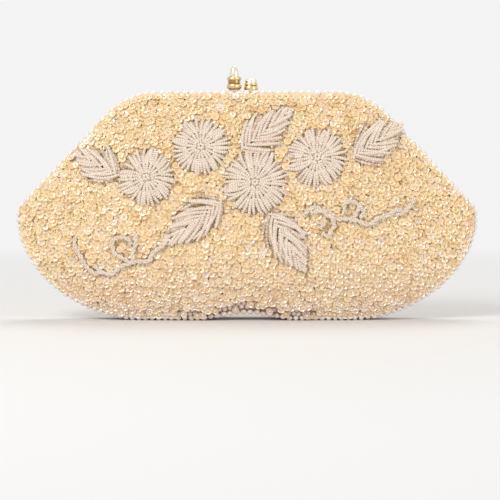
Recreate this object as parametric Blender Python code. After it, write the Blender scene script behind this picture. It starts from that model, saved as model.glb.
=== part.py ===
# Beaded evening clutch on a covered metal frame.
# Two bent channel halves turn on rivets at the bag's tips and close with a kiss lock.
# The front faces -Y and Z is up. The origin is under the middle of the bag, strands in relief included.
# Sizes are in metres.

import math

import bmesh
import bpy
from mathutils import Matrix, Vector

# Outline
BAG_WIDTH = 0.240
BAG_HEIGHT = 0.119
TOP_STRAIGHT_HALF = 0.0461
SHOULDER_RADIUS = 0.038
SLOPE_END_HEIGHT = 0.0582
HINGE_DROP = 0.0022
BOTTOM_HALF = 0.050
ARCH_HALF = 0.030
ARCH_RISE = 0.0038
TIP_ROUNDING = 0.006
STEM_SETBACK = 0.0004

# Half depths from the middle plane to the beaded surface
BASE_HALF_DEPTH = 0.008
SEAM_HALF_DEPTH = 0.0032
EDGE_HALF_DEPTH = 0.0055
BULGE_DEPTH = 0.0089
BULGE_POWER = 2.2

# Layers, from the beads inwards
BEADED_CLOTH = 0.0020
INTERLINING = 0.0008
LINING = 0.0006
INTERLINING_TOP = 0.0050
GAP = 0.0003

# Fold line and swing of the frame halves
FOLD_RISE = 0.014
HALF_OPENING = math.radians(30)
SWING_MARGIN = math.radians(3)

# Frame channel, measured from the edge of the bag inwards
CHANNEL_INSET = 0.0013
CHANNEL_OUTER_LEG = 0.0067
CHANNEL_INNER_LEG = 0.0047
CHANNEL_WIDTH = 0.0029
CHANNEL_METAL = 0.0007
EAR_RADIUS = 0.0026
EAR_METAL = 0.0008
EAR_LAP_GAP = 0.0002
EAR_SETBACK = 0.0062
RIVET_RADIUS = 0.00120
RIVET_HOLE_RADIUS = 0.00126
RIVET_HEAD_RADIUS = 0.0021
RIVET_HEAD_HEIGHT = 0.0008
RIVET_HEAD_FLAT_SHARE = 0.6

# Edging beads
EDGING_RADIUS = 0.0015
EDGING_PITCH = 0.0031
EDGING_PROUD = 0.0007
EDGING_NECK_SHARE = 0.62
EDGING_END = 0.0022

# Kiss lock
KNOB_RING_RADIUS = 0.0039
KNOB_RING_HEIGHT = 0.0023
KNOB_GROOVE_RADIUS = 0.0033
KNOB_GROOVE_HEIGHT = 0.0011
KNOB_NECK_RADIUS = 0.0025
KNOB_NECK_HEIGHT = 0.0012
BULLET_RADIUS = 0.0026
BULLET_HEIGHT = 0.0058
DOME_BASE_RADIUS = 0.0038
DOME_TIER_HEIGHT = 0.0015
DOME_STEP = 0.0006
DOME_CAP_HEIGHT = 0.0013
TALL_KNOB_X = -0.0066
SHORT_KNOB_X = 0.0021
KNOB_CROSSING = 0.0009
ARM_METAL = 0.0009
ARM_HALF_WIDTH = 0.0030

# Bead strands in relief
STRAND_HEIGHT = 0.0020
STRAND_VALLEY_SHARE = 0.5
STRAND_RADIUS = 0.0009

# Slip pocket on the back of the lining
POCKET_WIDTH = 0.084
POCKET_BOTTOM = 0.020
POCKET_TOP = 0.056
POCKET_ROOM = 0.0070
POCKET_CLOTH = 0.0006
POCKET_SEAT = 0.0007
POCKET_BOW_POWER = 3

# Meshing
ROUND_STEPS = 16
HOLE_STEPS = 14
WELD = 0.000001
OVERRUN = 0.001

HALF_WIDTH = BAG_WIDTH / 2
HINGE_HEIGHT = SLOPE_END_HEIGHT - HINGE_DROP

# The slope leaves the shoulder's circle as a tangent and runs to the tip
CENTRE_TO_TIP = Vector((HALF_WIDTH - TOP_STRAIGHT_HALF, SLOPE_END_HEIGHT - BAG_HEIGHT + SHOULDER_RADIUS))
SLOPE = math.atan2(*CENTRE_TO_TIP) - math.acos(SHOULDER_RADIUS / CENTRE_TO_TIP.length)
SHOULDER_LENGTH = SHOULDER_RADIUS * SLOPE
SIDE_SPAN = HALF_WIDTH - BOTTOM_HALF
RIVET_START = HALF_WIDTH - EAR_SETBACK - 2 * EAR_METAL - 2 * EAR_LAP_GAP - RIVET_HEAD_HEIGHT

# Depth of each layer's two faces below the beaded surface
CLOTH_FACES = (0.0, BEADED_CLOTH)
INTERLINING_FACES = (BEADED_CLOTH + GAP, BEADED_CLOTH + GAP + INTERLINING)
LINING_FACES = (INTERLINING_FACES[1] + GAP, INTERLINING_FACES[1] + GAP + LINING)

# Places where the bag is cut across, as shares of the span from the straight bottom to the tip
SIDE_SHARES = (0.2, 0.4, 0.57, 0.66, 0.71, 0.75, 0.84, 0.94, 0.975)
LINING_END_SHARE = 0.57
FOLD_END_SHARE = 0.75
CLOTH_END_SHARE = 0.94
ROW_SHARES = (0.0, 0.05, 0.16, 0.40, 0.70, 1.0)
UPPER_ROW_SHARES = (0.0, 0.3, 0.65, 1.0)
FOLD_END = BOTTOM_HALF + FOLD_END_SHARE * SIDE_SPAN

# Flowers: name, place across as a share of the half width, place up and radius as shares of the height
FLOWER_SHARES = {
    "flower_left": (-0.430, 0.623, 0.124),
    "flower_top": (-0.197, 0.755, 0.119),
    "flower_centre": (0.035, 0.603, 0.141),
    "flower_right": (0.300, 0.708, 0.128),
}
FLOWER_STRANDS = 18
FLOWER_RING_SHARES = (0.10, 0.62, 1.0)
FLOWER_HEIGHT_SHARES = (0.6, 1.0, 0.5)
FLOWER_NOTCH_SHARE = 0.9

# Leaves: base and tip across and up in the same shares, half width as a share of the height
LEAF_SHARES = {
    "leaf_far_left": (-0.565, 0.634, -0.750, 0.727, 0.067),
    "leaf_top": (-0.020, 0.752, 0.200, 0.926, 0.070),
    "leaf_right": (0.446, 0.712, 0.656, 0.842, 0.070),
    "leaf_lower_left": (-0.112, 0.508, -0.358, 0.328, 0.068),
    "leaf_lower_right": (0.105, 0.434, 0.250, 0.212, 0.070),
}
LEAF_STRANDS = 6
LEAF_LEAD_SHARE = 0.14
LEAF_TOE_SHARE = 0.12
LEAF_FULLNESS = 0.8
LEAF_NOTCH_SHARE = 0.86
LEAF_EDGE_SHARE = 0.45

# Vines: each strand is a chain of places in the same shares
VINE_SHARES = {
    "vine_left": (
        ((-0.383, 0.302), (-0.418, 0.262), (-0.455, 0.248), (-0.490, 0.252), (-0.530, 0.222), (-0.575, 0.196),
         (-0.632, 0.200), (-0.672, 0.232), (-0.694, 0.285), (-0.702, 0.348)),
        ((-0.458, 0.250), (-0.512, 0.268), (-0.548, 0.300), (-0.553, 0.340), (-0.520, 0.356), (-0.482, 0.330),
         (-0.466, 0.290)),
        ((-0.560, 0.204), (-0.592, 0.222), (-0.622, 0.228)),
    ),
    "vine_right": (
        ((0.250, 0.400), (0.262, 0.436), (0.300, 0.462), (0.345, 0.458), (0.372, 0.428), (0.420, 0.420), (0.470, 0.424),
         (0.520, 0.409), (0.570, 0.424), (0.618, 0.446), (0.665, 0.480), (0.700, 0.512)),
        ((0.400, 0.424), (0.404, 0.470), (0.434, 0.496), (0.468, 0.486), (0.478, 0.450)),
    ),
}
VINE_POINT_SPACING = 0.0032


def clear_scene():
    for thing in list(bpy.data.objects):
        bpy.data.objects.remove(thing, do_unlink=True)


def finish(name, colour, roughness, metallic):
    """A plain principled material."""
    material = bpy.data.materials.new(name)
    material.use_nodes = True
    shader = material.node_tree.nodes["Principled BSDF"]
    shader.inputs["Base Color"].default_value = (*colour, 1.0)
    shader.inputs["Roughness"].default_value = roughness
    shader.inputs["Metallic"].default_value = metallic
    return material


def keep(bm, name, colour, roughness, metallic):
    """Turns a bmesh into a named object with its own material."""
    bmesh.ops.recalc_face_normals(bm, faces=bm.faces)
    if bm.calc_volume(signed=True) < 0:
        bmesh.ops.reverse_faces(bm, faces=bm.faces)
    mesh = bpy.data.meshes.new(name)
    bm.to_mesh(mesh)
    bm.free()
    return keep_mesh(mesh, name, colour, roughness, metallic)


def keep_mesh(mesh, name, colour, roughness, metallic):
    mesh.shade_smooth()
    mesh.set_sharp_from_angle(angle=math.radians(35))
    thing = bpy.data.objects.new(name, mesh)
    mesh.materials.clear()
    mesh.materials.append(finish(name, colour, roughness, metallic))
    bpy.context.collection.objects.link(thing)
    return thing


def beads(bm, name):
    return keep(bm, name, (0.83, 0.74, 0.56), 0.35, 0.1)


def strand_beads(bm, name):
    return keep(bm, name, (0.80, 0.71, 0.65), 0.4, 0.0)


def gilt(bm, name):
    return keep(bm, name, (0.83, 0.62, 0.25), 0.22, 1.0)


def satin(bm, name):
    return keep(bm, name, (0.82, 0.76, 0.64), 0.5, 0.0)


def boolean(thing, other, operation):
    """Joins or cuts with another object and keeps the result on the first."""
    step = thing.modifiers.new(operation, "BOOLEAN")
    step.operation = operation
    step.solver = "EXACT"
    step.object = other
    other.hide_render = True
    other.display_type = "WIRE"
    graph = bpy.context.evaluated_depsgraph_get()
    mesh = bpy.data.meshes.new_from_object(thing.evaluated_get(graph))
    thing.modifiers.clear()
    thing.data = mesh
    bpy.data.objects.remove(other, do_unlink=True)


# Outline of the bag


def edge_at(distance, inset):
    """Place and lean of the top edge, at a distance along it from the middle, moved in by inset."""
    side = math.copysign(1, distance)
    along = abs(distance)
    lean = min(max(along - TOP_STRAIGHT_HALF, 0) / SHOULDER_RADIUS, SLOPE)
    reach = SHOULDER_RADIUS - inset
    x = min(along, TOP_STRAIGHT_HALF) + reach * math.sin(lean)
    z = BAG_HEIGHT - SHOULDER_RADIUS + reach * math.cos(lean)
    beyond = max(along - TOP_STRAIGHT_HALF - SHOULDER_LENGTH, 0)
    return side * (x + beyond * math.cos(SLOPE)), z - beyond * math.sin(SLOPE), side * lean


def top_edge(x, inset=0.0):
    """Height of the top edge above a place across the bag."""
    across = abs(x)
    reach = SHOULDER_RADIUS - inset
    centre = BAG_HEIGHT - SHOULDER_RADIUS
    if across <= TOP_STRAIGHT_HALF:
        return centre + reach
    if across <= TOP_STRAIGHT_HALF + reach * math.sin(SLOPE):
        return centre + math.sqrt(reach**2 - (across - TOP_STRAIGHT_HALF) ** 2)
    past = across - TOP_STRAIGHT_HALF - reach * math.sin(SLOPE)
    return centre + reach * math.cos(SLOPE) - past * math.tan(SLOPE)


def bottom_edge(x, inset=0.0):
    """Height of the bottom edge: a low arch, two straight stretches to stand on, and a quarter ellipse."""
    across = abs(x)
    if across < ARCH_HALF:
        return inset + ARCH_RISE * (1 + math.cos(math.pi * across / ARCH_HALF)) / 2
    if across <= BOTTOM_HALF:
        return inset
    share = min((across - BOTTOM_HALF) / (SIDE_SPAN - inset), 1)
    return HINGE_HEIGHT - (HINGE_HEIGHT - inset) * math.sqrt(1 - share**2)


def depth(x, z):
    """Half depth of the bag at the beaded surface."""
    across = min(abs(x) / HALF_WIDTH, 1)
    low = bottom_edge(x)
    up = min(max((z - low) / (top_edge(x) - low), 0), 1)
    base = SEAM_HALF_DEPTH + (BASE_HALF_DEPTH - SEAM_HALF_DEPTH) * (1 - across**2)
    swell = math.sqrt(up) * (1 - up) / (math.sqrt(1 / 3) * 2 / 3)
    plain = base + (EDGE_HALF_DEPTH - base) * up + BULGE_DEPTH * (1 - across**BULGE_POWER) * swell
    into_tip = max(abs(x) - (HALF_WIDTH - TIP_ROUNDING), 0) / TIP_ROUNDING
    return plain * math.sqrt(max(1 - into_tip**2, 0))


# Fold line, as a surface turned about the hinge axis, so that what swings clears what stays


def fold_radius(x):
    """Distance of the fold line from the hinge axis, kept under the channel's lower edge."""
    channel_foot = top_edge(x, CHANNEL_INSET + CHANNEL_OUTER_LEG + GAP) - HINGE_HEIGHT
    return min(math.hypot(depth(x, HINGE_HEIGHT + FOLD_RISE), FOLD_RISE), channel_foot)


def height_at_radius(x, below, radius):
    """Height at which a face that lies below the beaded surface is a given distance from the hinge axis."""
    low, high = HINGE_HEIGHT, HINGE_HEIGHT + radius
    for _ in range(40):
        middle = (low + high) / 2
        if math.hypot(depth(x, middle) - below, middle - HINGE_HEIGHT) < radius:
            low = middle
        else:
            high = middle
    return low


def pouch_rim(x, below):
    """Top of the still lower part of the bag: towards the tips it slopes away under the swinging cloth."""
    if abs(x) < FOLD_END - GAP / 2:
        return height_at_radius(x, below, fold_radius(x) - GAP / 2)
    return HINGE_HEIGHT - GAP - depth(x, HINGE_HEIGHT) * math.tan(HALF_OPENING + SWING_MARGIN)


def upper_foot(x, below):
    """Bottom of the cloth that swings with a frame half."""
    if abs(x) < FOLD_END + GAP / 2:
        return height_at_radius(x, below, fold_radius(x) + GAP / 2)
    return HINGE_HEIGHT + GAP


# Lofted sheets


def stations(last_share):
    """Places across the bag from left to right, ending at a share of the side span.

    The fold ends in a step, which needs places close together."""
    right = [ARCH_HALF / 3, ARCH_HALF * 2 / 3, ARCH_HALF, BOTTOM_HALF]
    for share in SIDE_SHARES:
        if share > last_share:
            break
        at = BOTTOM_HALF + share * SIDE_SPAN
        right += [at - GAP, at, at + GAP] if share == FOLD_END_SHARE else [at]
    return [-x for x in reversed(right)] + [0.0] + right


def sheet(bm, columns, rows, place):
    """A grid whose points are put in place by column and row number."""
    made = bmesh.ops.create_grid(bm, x_segments=columns, y_segments=rows, size=0.5)["verts"]
    for vert in made:
        vert.co = place(round((vert.co.x + 0.5) * columns), round((vert.co.y + 0.5) * rows))
    bmesh.ops.remove_doubles(bm, verts=made, dist=WELD)


def close_rims(bm):
    """Joins the free edges of two sheets into one closed solid."""
    bmesh.ops.bridge_loops(bm, edges=[edge for edge in bm.edges if edge.is_boundary])


def pouch_layer(faces):
    """The lower bag as one shell, like a boat's hull, between two faces of a layer."""
    bm = bmesh.new()
    cloth = faces == CLOTH_FACES
    for below in faces:
        end = (HALF_WIDTH - STEM_SETBACK if cloth else RIVET_START) - below
        inside = [x for x in stations(1.0) if abs(x) < end - 2 * STEM_SETBACK]
        places = [-end] + inside + [end]
        rows = len(ROW_SHARES)

        def place(column, row, below=below, end=end, places=places, rows=rows):
            x = places[column]
            back = row >= rows
            share = ROW_SHARES[row - rows] if back else ROW_SHARES[rows - 1 - row]
            at_end = abs(x) >= end
            low = bottom_edge(x, below)
            rim = HINGE_HEIGHT - GAP if at_end and cloth else pouch_rim(x, below)
            outer_low = bottom_edge(x)
            level = max(outer_low + share * (rim - outer_low), low + share * (rim - low))
            z = low if share == 0 else min(level, rim)
            half = 0.0 if at_end else max(depth(x, z) - below, GAP)
            return Vector((x, half if back else -half, z))

        sheet(bm, len(places) - 1, 2 * rows - 1, place)
    close_rims(bm)
    return bm


def upper_layer(faces, side, last_share, top_inset):
    """Cloth that swings with a frame half: side is -1 for the front and 1 for the back."""
    places = stations(last_share)
    bm = bmesh.new()
    for below in faces:

        def place(column, row, below=below):
            x = places[column]
            foot = upper_foot(x, below)
            z = foot + UPPER_ROW_SHARES[row] * (top_edge(x, top_inset) - foot)
            return Vector((x, side * (depth(x, z) - below), z))

        sheet(bm, len(places) - 1, len(UPPER_ROW_SHARES) - 1, place)
    close_rims(bm)
    return bm


def make_cloth():
    cloth_top = 2 * EDGING_RADIUS + GAP
    channel_end = CHANNEL_INSET + CHANNEL_OUTER_LEG + GAP
    beads(pouch_layer(CLOTH_FACES), "beaded_pouch")
    satin(pouch_layer(INTERLINING_FACES), "pouch_interlining")
    satin(pouch_layer(LINING_FACES), "pouch_lining")
    for name, side in (("front", -1), ("back", 1)):
        beads(upper_layer(CLOTH_FACES, side, CLOTH_END_SHARE, cloth_top), name + "_upper_panel")
        satin(upper_layer(INTERLINING_FACES, side, LINING_END_SHARE, INTERLINING_TOP), name + "_upper_interlining")
        satin(upper_layer(LINING_FACES, side, LINING_END_SHARE, channel_end), name + "_upper_lining")


# Frame halves


def ear(side, inner_x):
    """One end of a frame half: a flat ear with the rivet's hole, standing across the hinge axis."""
    outer_y = side * CHANNEL_WIDTH
    inner_y = side * GAP / 2
    top = top_edge(max(abs(inner_x), abs(inner_x + EAR_METAL)), CHANNEL_INSET)
    points = []
    for step in range(HOLE_STEPS // 2 + 1):
        turn = math.pi * (1 + step / (HOLE_STEPS // 2))
        points.append((EAR_RADIUS * math.cos(turn), HINGE_HEIGHT + EAR_RADIUS * math.sin(turn)))
    neck = HINGE_HEIGHT + EAR_RADIUS
    front_side = [(inner_y, neck), (inner_y, top), (outer_y, top), (outer_y, neck)]
    points += front_side if side < 0 else list(reversed(front_side))
    bm = bmesh.new()
    face = bm.faces.new([bm.verts.new((inner_x, y, z)) for y, z in points])
    pushed = bmesh.ops.extrude_face_region(bm, geom=[face])["geom"]
    moved = [part for part in pushed if isinstance(part, bmesh.types.BMVert)]
    bmesh.ops.translate(bm, verts=moved, vec=(EAR_METAL, 0, 0))
    return bm


def rod(radius, length, centre, steps):
    """A plain round bar along X, used as a cutter."""
    bm = bmesh.new()
    bmesh.ops.create_cone(
        bm, cap_ends=True, segments=steps, radius1=radius, radius2=radius, depth=length
    )
    for vert in bm.verts:
        vert.co = Vector((vert.co.z + centre.x, vert.co.x + centre.y, vert.co.y + centre.z))
    return bm


def frame_half(name, side, end_x):
    """A channel bent along the top edge, closed towards it, with an ear at each end."""
    near, far = GAP / 2, CHANNEL_WIDTH
    top = CHANNEL_INSET
    section = [
        (top, far),
        (top + CHANNEL_OUTER_LEG, far),
        (top + CHANNEL_OUTER_LEG, far - CHANNEL_METAL),
        (top + CHANNEL_METAL, far - CHANNEL_METAL),
        (top + CHANNEL_METAL, near + CHANNEL_METAL),
        (top + CHANNEL_INNER_LEG, near + CHANNEL_METAL),
        (top + CHANNEL_INNER_LEG, near),
        (top, near),
    ]
    end = TOP_STRAIGHT_HALF + SHOULDER_LENGTH
    end += (end_x - edge_at(end, top)[0]) / math.cos(SLOPE)
    right = [TOP_STRAIGHT_HALF + SHOULDER_LENGTH * step / 5 for step in range(6)] + [end]
    along = [-distance for distance in reversed(right)] + right
    count = len(section)

    def place(column, row):
        inset, away = section[row % count]
        x, z, _ = edge_at(along[column], inset)
        return Vector((x, side * away, z))

    bm = bmesh.new()
    sheet(bm, len(along) - 1, count, place)
    bmesh.ops.holes_fill(bm, edges=[edge for edge in bm.edges if edge.is_boundary], sides=0)
    half = gilt(bm, name)
    for inner_x in (end_x - EAR_METAL, -end_x):
        boolean(half, gilt(ear(side, inner_x), name + "_ear"), "UNION")
        hole_at = Vector((inner_x + EAR_METAL / 2, 0, HINGE_HEIGHT))
        hole = rod(RIVET_HOLE_RADIUS, EAR_METAL + 2 * OVERRUN, hole_at, HOLE_STEPS)
        boolean(half, gilt(hole, name + "_hole"), "DIFFERENCE")
    return half


def rivet(name, side, inner_x, outer_x):
    """A shank through both ears with a low round head at each end, turned about X."""
    head, tall = RIVET_HEAD_RADIUS, RIVET_HEAD_HEIGHT
    flat = head * RIVET_HEAD_FLAT_SHARE
    shank_in, shank_out = inner_x - EAR_LAP_GAP, outer_x + EAR_LAP_GAP
    profile = [(0.0, shank_in - tall), (flat, shank_in - tall), (head, shank_in - tall / 3), (head, shank_in)]
    profile += [(RIVET_RADIUS, shank_in), (RIVET_RADIUS, shank_out)]
    profile += [(head, shank_out), (head, shank_out + tall / 3), (flat, shank_out + tall), (0.0, shank_out + tall)]
    bm = turned(profile, HOLE_STEPS)
    for vert in bm.verts:
        vert.co = Vector((side * vert.co.z, vert.co.x, vert.co.y + HINGE_HEIGHT))
    return gilt(bm, name)


def turned(profile, steps):
    """A solid turned about Z from a profile of radius and height, from the bottom up."""
    bm = bmesh.new()
    chain = [bm.verts.new((radius, 0, height)) for radius, height in profile]
    lines = [bm.edges.new(pair) for pair in zip(chain, chain[1:])]
    bmesh.ops.spin(
        bm, geom=chain + lines, cent=(0, 0, 0), axis=(0, 0, 1), angle=math.tau, steps=steps, use_merge=True
    )
    bmesh.ops.remove_doubles(bm, verts=bm.verts, dist=WELD)
    return bm


def make_frame():
    outer = HALF_WIDTH - EAR_SETBACK
    inner = outer - EAR_METAL - EAR_LAP_GAP
    frame_half("front_frame_channel", -1, outer)
    frame_half("back_frame_channel", 1, inner)
    rivet("left_hinge_rivet", -1, inner - EAR_METAL, outer)
    rivet("right_hinge_rivet", 1, inner - EAR_METAL, outer)


# Edging beads along the top edge


def edging(name, side):
    """One row of beads from tip to tip, waisted between the beads."""
    end = TOP_STRAIGHT_HALF + SHOULDER_LENGTH
    end += (HALF_WIDTH - EDGING_END - edge_at(end, EDGING_RADIUS)[0]) / math.cos(SLOPE)
    beads_each_way = math.floor(end / EDGING_PITCH)
    places = 4 * beads_each_way + 1
    sides = 4

    def place(column, row):
        distance = (column - 2 * beads_each_way) * EDGING_PITCH / 2
        waist = (column % 2) == 1
        at_end = column in (0, places - 1)
        radius = EDGING_RADIUS * (EDGING_NECK_SHARE if waist or at_end else 1)
        x, z, lean = edge_at(distance, EDGING_RADIUS)
        turn = math.tau * (row % sides) / sides
        out = radius * math.sin(turn)
        middle = depth(x, top_edge(x)) + EDGING_PROUD - EDGING_RADIUS
        across = radius * math.cos(turn)
        return Vector((x + out * math.sin(lean), side * (middle + across), z + out * math.cos(lean)))

    bm = bmesh.new()
    sheet(bm, places - 1, sides, place)
    bmesh.ops.holes_fill(bm, edges=[edge for edge in bm.edges if edge.is_boundary], sides=0)
    return strand_beads(bm, name)


# Kiss lock


def arm(name, side, x):
    """A small plate from its own frame half across the middle plane, under its knob."""
    bottom = BAG_HEIGHT - CHANNEL_INSET + GAP
    reach = -side * (KNOB_CROSSING + KNOB_NECK_RADIUS)
    foot = side * CHANNEL_WIDTH
    bm = bmesh.new()
    low, high = min(reach, foot), max(reach, foot)
    bmesh.ops.create_cube(bm, size=1)
    bmesh.ops.scale(bm, verts=bm.verts, vec=(2 * ARM_HALF_WIDTH, high - low, ARM_METAL))
    bmesh.ops.translate(bm, verts=bm.verts, vec=(x, (low + high) / 2, bottom + ARM_METAL / 2))
    upright = [edge for edge in bm.edges if abs(edge.verts[0].co.z - edge.verts[1].co.z) > ARM_METAL / 2]
    bmesh.ops.bevel(bm, geom=upright, offset=ARM_HALF_WIDTH / 2, segments=3, affect="EDGES", profile=0.5)
    return gilt(bm, name)


def knob_foot():
    return BAG_HEIGHT - CHANNEL_INSET + 2 * GAP + ARM_METAL


def tall_knob():
    """Neck, two rings with a groove between them, and a bullet top."""
    level = 0.0
    profile = [(0.0, level), (KNOB_NECK_RADIUS, level)]
    level += KNOB_NECK_HEIGHT
    profile.append((KNOB_NECK_RADIUS, level))
    for waist in (True, False):
        rounding = KNOB_RING_HEIGHT / 4
        profile += [(KNOB_RING_RADIUS - rounding, level), (KNOB_RING_RADIUS, level + rounding)]
        level += KNOB_RING_HEIGHT
        profile += [(KNOB_RING_RADIUS, level - rounding), (KNOB_RING_RADIUS - rounding, level)]
        if waist:
            profile.append((KNOB_GROOVE_RADIUS, level))
            level += KNOB_GROOVE_HEIGHT
            profile.append((KNOB_GROOVE_RADIUS, level))
    for step in range(6):
        turn = step / 5 * math.pi / 2
        profile.append((BULLET_RADIUS * math.cos(turn), level + BULLET_HEIGHT * math.sin(turn)))
    bm = turned(profile, ROUND_STEPS)
    bmesh.ops.translate(bm, verts=bm.verts, vec=(TALL_KNOB_X, -KNOB_CROSSING, knob_foot()))
    return gilt(bm, "tall_knob")


def short_knob():
    """Neck and three shrinking tiers under a low dome."""
    level = 0.0
    profile = [(0.0, level), (KNOB_NECK_RADIUS, level), (KNOB_NECK_RADIUS, level + KNOB_NECK_HEIGHT)]
    level += KNOB_NECK_HEIGHT
    radius = DOME_BASE_RADIUS
    for _ in range(3):
        rounding = DOME_STEP / 2
        profile += [(radius - rounding, level), (radius, level + rounding)]
        level += DOME_TIER_HEIGHT
        profile += [(radius, level - rounding), (radius - rounding, level)]
        radius -= DOME_STEP
    for step in range(4):
        turn = step / 3 * math.pi / 2
        profile.append(((radius - DOME_STEP) * math.cos(turn), level + DOME_CAP_HEIGHT * math.sin(turn)))
    bm = turned(profile, ROUND_STEPS)
    bmesh.ops.translate(bm, verts=bm.verts, vec=(SHORT_KNOB_X, KNOB_CROSSING, knob_foot()))
    return gilt(bm, "short_knob")


def make_clasp():
    arm("back_clasp_arm", 1, TALL_KNOB_X)
    arm("front_clasp_arm", -1, SHORT_KNOB_X)
    tall_knob()
    short_knob()


# Bead strands in relief on the front


def on_front(x, z, height):
    """A point that stands off the beaded front by the gap and a height."""
    return Vector((x, -(depth(x, z) + GAP + height), z))


def flower(name, across, up, size):
    """Strands that radiate from the middle, ridged on top and scalloped round the edge."""
    centre_x, centre_z, radius = across * HALF_WIDTH, up * BAG_HEIGHT, size * BAG_HEIGHT
    spokes = 2 * FLOWER_STRANDS
    rings = len(FLOWER_RING_SHARES)

    def place_on(top):
        def place(column, row):
            ridge = column % 2 == 0
            share = FLOWER_RING_SHARES[row] * (1 if ridge or row < rings - 1 else FLOWER_NOTCH_SHARE)
            turn = math.tau * (column % spokes) / spokes
            x = centre_x + radius * share * math.cos(turn)
            z = centre_z + radius * share * math.sin(turn)
            full = STRAND_HEIGHT * FLOWER_HEIGHT_SHARES[row]
            return on_front(x, z, full * (1 if ridge else STRAND_VALLEY_SHARE) if top else 0.0)

        return place

    bm = bmesh.new()
    for top in (True, False):
        sheet(bm, spokes, rings - 1, place_on(top))
    close_ring_pair(bm, centre_x, centre_z, radius * (FLOWER_RING_SHARES[0] + FLOWER_RING_SHARES[1]) / 2)
    return strand_beads(bm, name)


def close_ring_pair(bm, centre_x, centre_z, limit):
    """Caps the two small middle rings and joins the two outer ones."""
    free = [edge for edge in bm.edges if edge.is_boundary]

    def is_outer(edge):
        middle = (edge.verts[0].co + edge.verts[1].co) / 2
        return math.hypot(middle.x - centre_x, middle.z - centre_z) > limit

    inner = [edge for edge in free if not is_outer(edge)]
    outer = [edge for edge in free if is_outer(edge)]
    bmesh.ops.holes_fill(bm, edges=inner, sides=0)
    bmesh.ops.bridge_loops(bm, edges=outer)


def leaf(name, base_across, base_up, tip_across, tip_up, half_size):
    """Strands that run forward from a midrib to both sides and meet at the tip."""
    base = Vector((base_across * HALF_WIDTH, base_up * BAG_HEIGHT))
    tip = Vector((tip_across * HALF_WIDTH, tip_up * BAG_HEIGHT))
    length = (tip - base).length
    ahead = (tip - base) / length
    aside = Vector((-ahead.y, ahead.x))
    half = half_size * BAG_HEIGHT
    steps = 2 * LEAF_STRANDS

    def place_on(top):
        def place(column, row):
            along = column / steps
            sideways = (row - 2) / 2
            ridge = column % 2 == 1
            toe = LEAF_TOE_SHARE + (1 - LEAF_TOE_SHARE) * along
            reach = half * math.sin(math.pi * toe**LEAF_FULLNESS) * (1 if ridge else LEAF_NOTCH_SHARE)
            spot = base + ahead * length * (along + LEAF_LEAD_SHARE * abs(sideways) * (1 - along))
            spot = spot + aside * sideways * max(reach, STRAND_RADIUS / 2)
            height = STRAND_HEIGHT * (1 if ridge else STRAND_VALLEY_SHARE)
            height *= LEAF_EDGE_SHARE if abs(sideways) == 1 else 1
            return on_front(spot.x, spot.y, height if top else 0.0)

        return place

    bm = bmesh.new()
    for top in (True, False):
        sheet(bm, steps, 4, place_on(top))
    close_rims(bm)
    return strand_beads(bm, name)


def smooth_chain(points):
    """Even points along a smooth curve through hand-placed ones."""
    spots = [Vector((across * HALF_WIDTH, up * BAG_HEIGHT)) for across, up in points]
    spots = [2 * spots[0] - spots[1]] + spots + [2 * spots[-1] - spots[-2]]
    fine = []
    for first, start, end, last in zip(spots, spots[1:], spots[2:], spots[3:]):
        pieces = max(round((end - start).length / VINE_POINT_SPACING), 1)
        for piece in range(pieces):
            t = piece / pieces
            bend = 2 * start + (end - first) * t
            bend += (2 * first - 5 * start + 4 * end - last) * t**2
            bend += (3 * start - first - 3 * end + last) * t**3
            fine.append(bend / 2)
    return fine + [spots[-2]]


def strand_tube(name, points):
    """One strand as a tube lying on the front."""
    line = bpy.data.curves.new(name, "CURVE")
    line.dimensions = "3D"
    line.bevel_depth = STRAND_RADIUS
    line.bevel_resolution = 1
    line.use_fill_caps = True
    spline = line.splines.new("POLY")
    route = [on_front(spot.x, spot.y, STRAND_RADIUS) for spot in smooth_chain(points)]
    spline.points.add(len(route) - 1)
    for point, spot in zip(spline.points, route):
        point.co = (*spot, 1)
    tube = bpy.data.objects.new(name, line)
    bpy.context.collection.objects.link(tube)
    graph = bpy.context.evaluated_depsgraph_get()
    mesh = bpy.data.meshes.new_from_object(tube.evaluated_get(graph))
    bpy.data.objects.remove(tube, do_unlink=True)
    bm = bmesh.new()
    bm.from_mesh(mesh)
    bmesh.ops.remove_doubles(bm, verts=bm.verts, dist=WELD)
    return strand_beads(bm, name)


def vine(name, strands):
    main, *others = [strand_tube(name, points) for points in strands]
    for other in others:
        boolean(main, other, "UNION")
    return main


def make_relief():
    for name, shares in FLOWER_SHARES.items():
        flower(name, *shares)
    for name, shares in LEAF_SHARES.items():
        leaf(name, *shares)
    for name, strands in VINE_SHARES.items():
        vine(name, strands)


# Slip pocket


def make_pocket():
    """A patch sewn to the back lining along its sides and bottom, standing off at its open top."""
    columns, rows = 12, 5
    bm = bmesh.new()
    for under in (0.0, POCKET_CLOTH):

        def place(column, row, under=under):
            x = (column / columns - 0.5) * POCKET_WIDTH
            share = row / rows
            z = POCKET_BOTTOM + share * (POCKET_TOP - POCKET_BOTTOM)
            bow = 1 - abs(2 * column / columns - 1) ** POCKET_BOW_POWER
            stand = POCKET_ROOM * bow * math.sqrt(share)
            return Vector((x, depth(x, z) - LINING_FACES[1] - POCKET_SEAT - stand - under, z))

        sheet(bm, columns, rows, place)
    close_rims(bm)
    return satin(bm, "slip_pocket")


def centre_front_to_back():
    """Moves the bag back, so that the origin is halfway between the strands in relief and the plain back."""
    back = Matrix.Translation((0, (GAP + STRAND_HEIGHT) / 2, 0))
    for thing in bpy.data.objects:
        thing.data.transform(back)


def main():
    clear_scene()
    make_cloth()
    make_frame()
    for name, side in (("front_edging_beads", -1), ("back_edging_beads", 1)):
        edging(name, side)
    make_clasp()
    make_relief()
    make_pocket()
    centre_front_to_back()


main()
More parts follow.
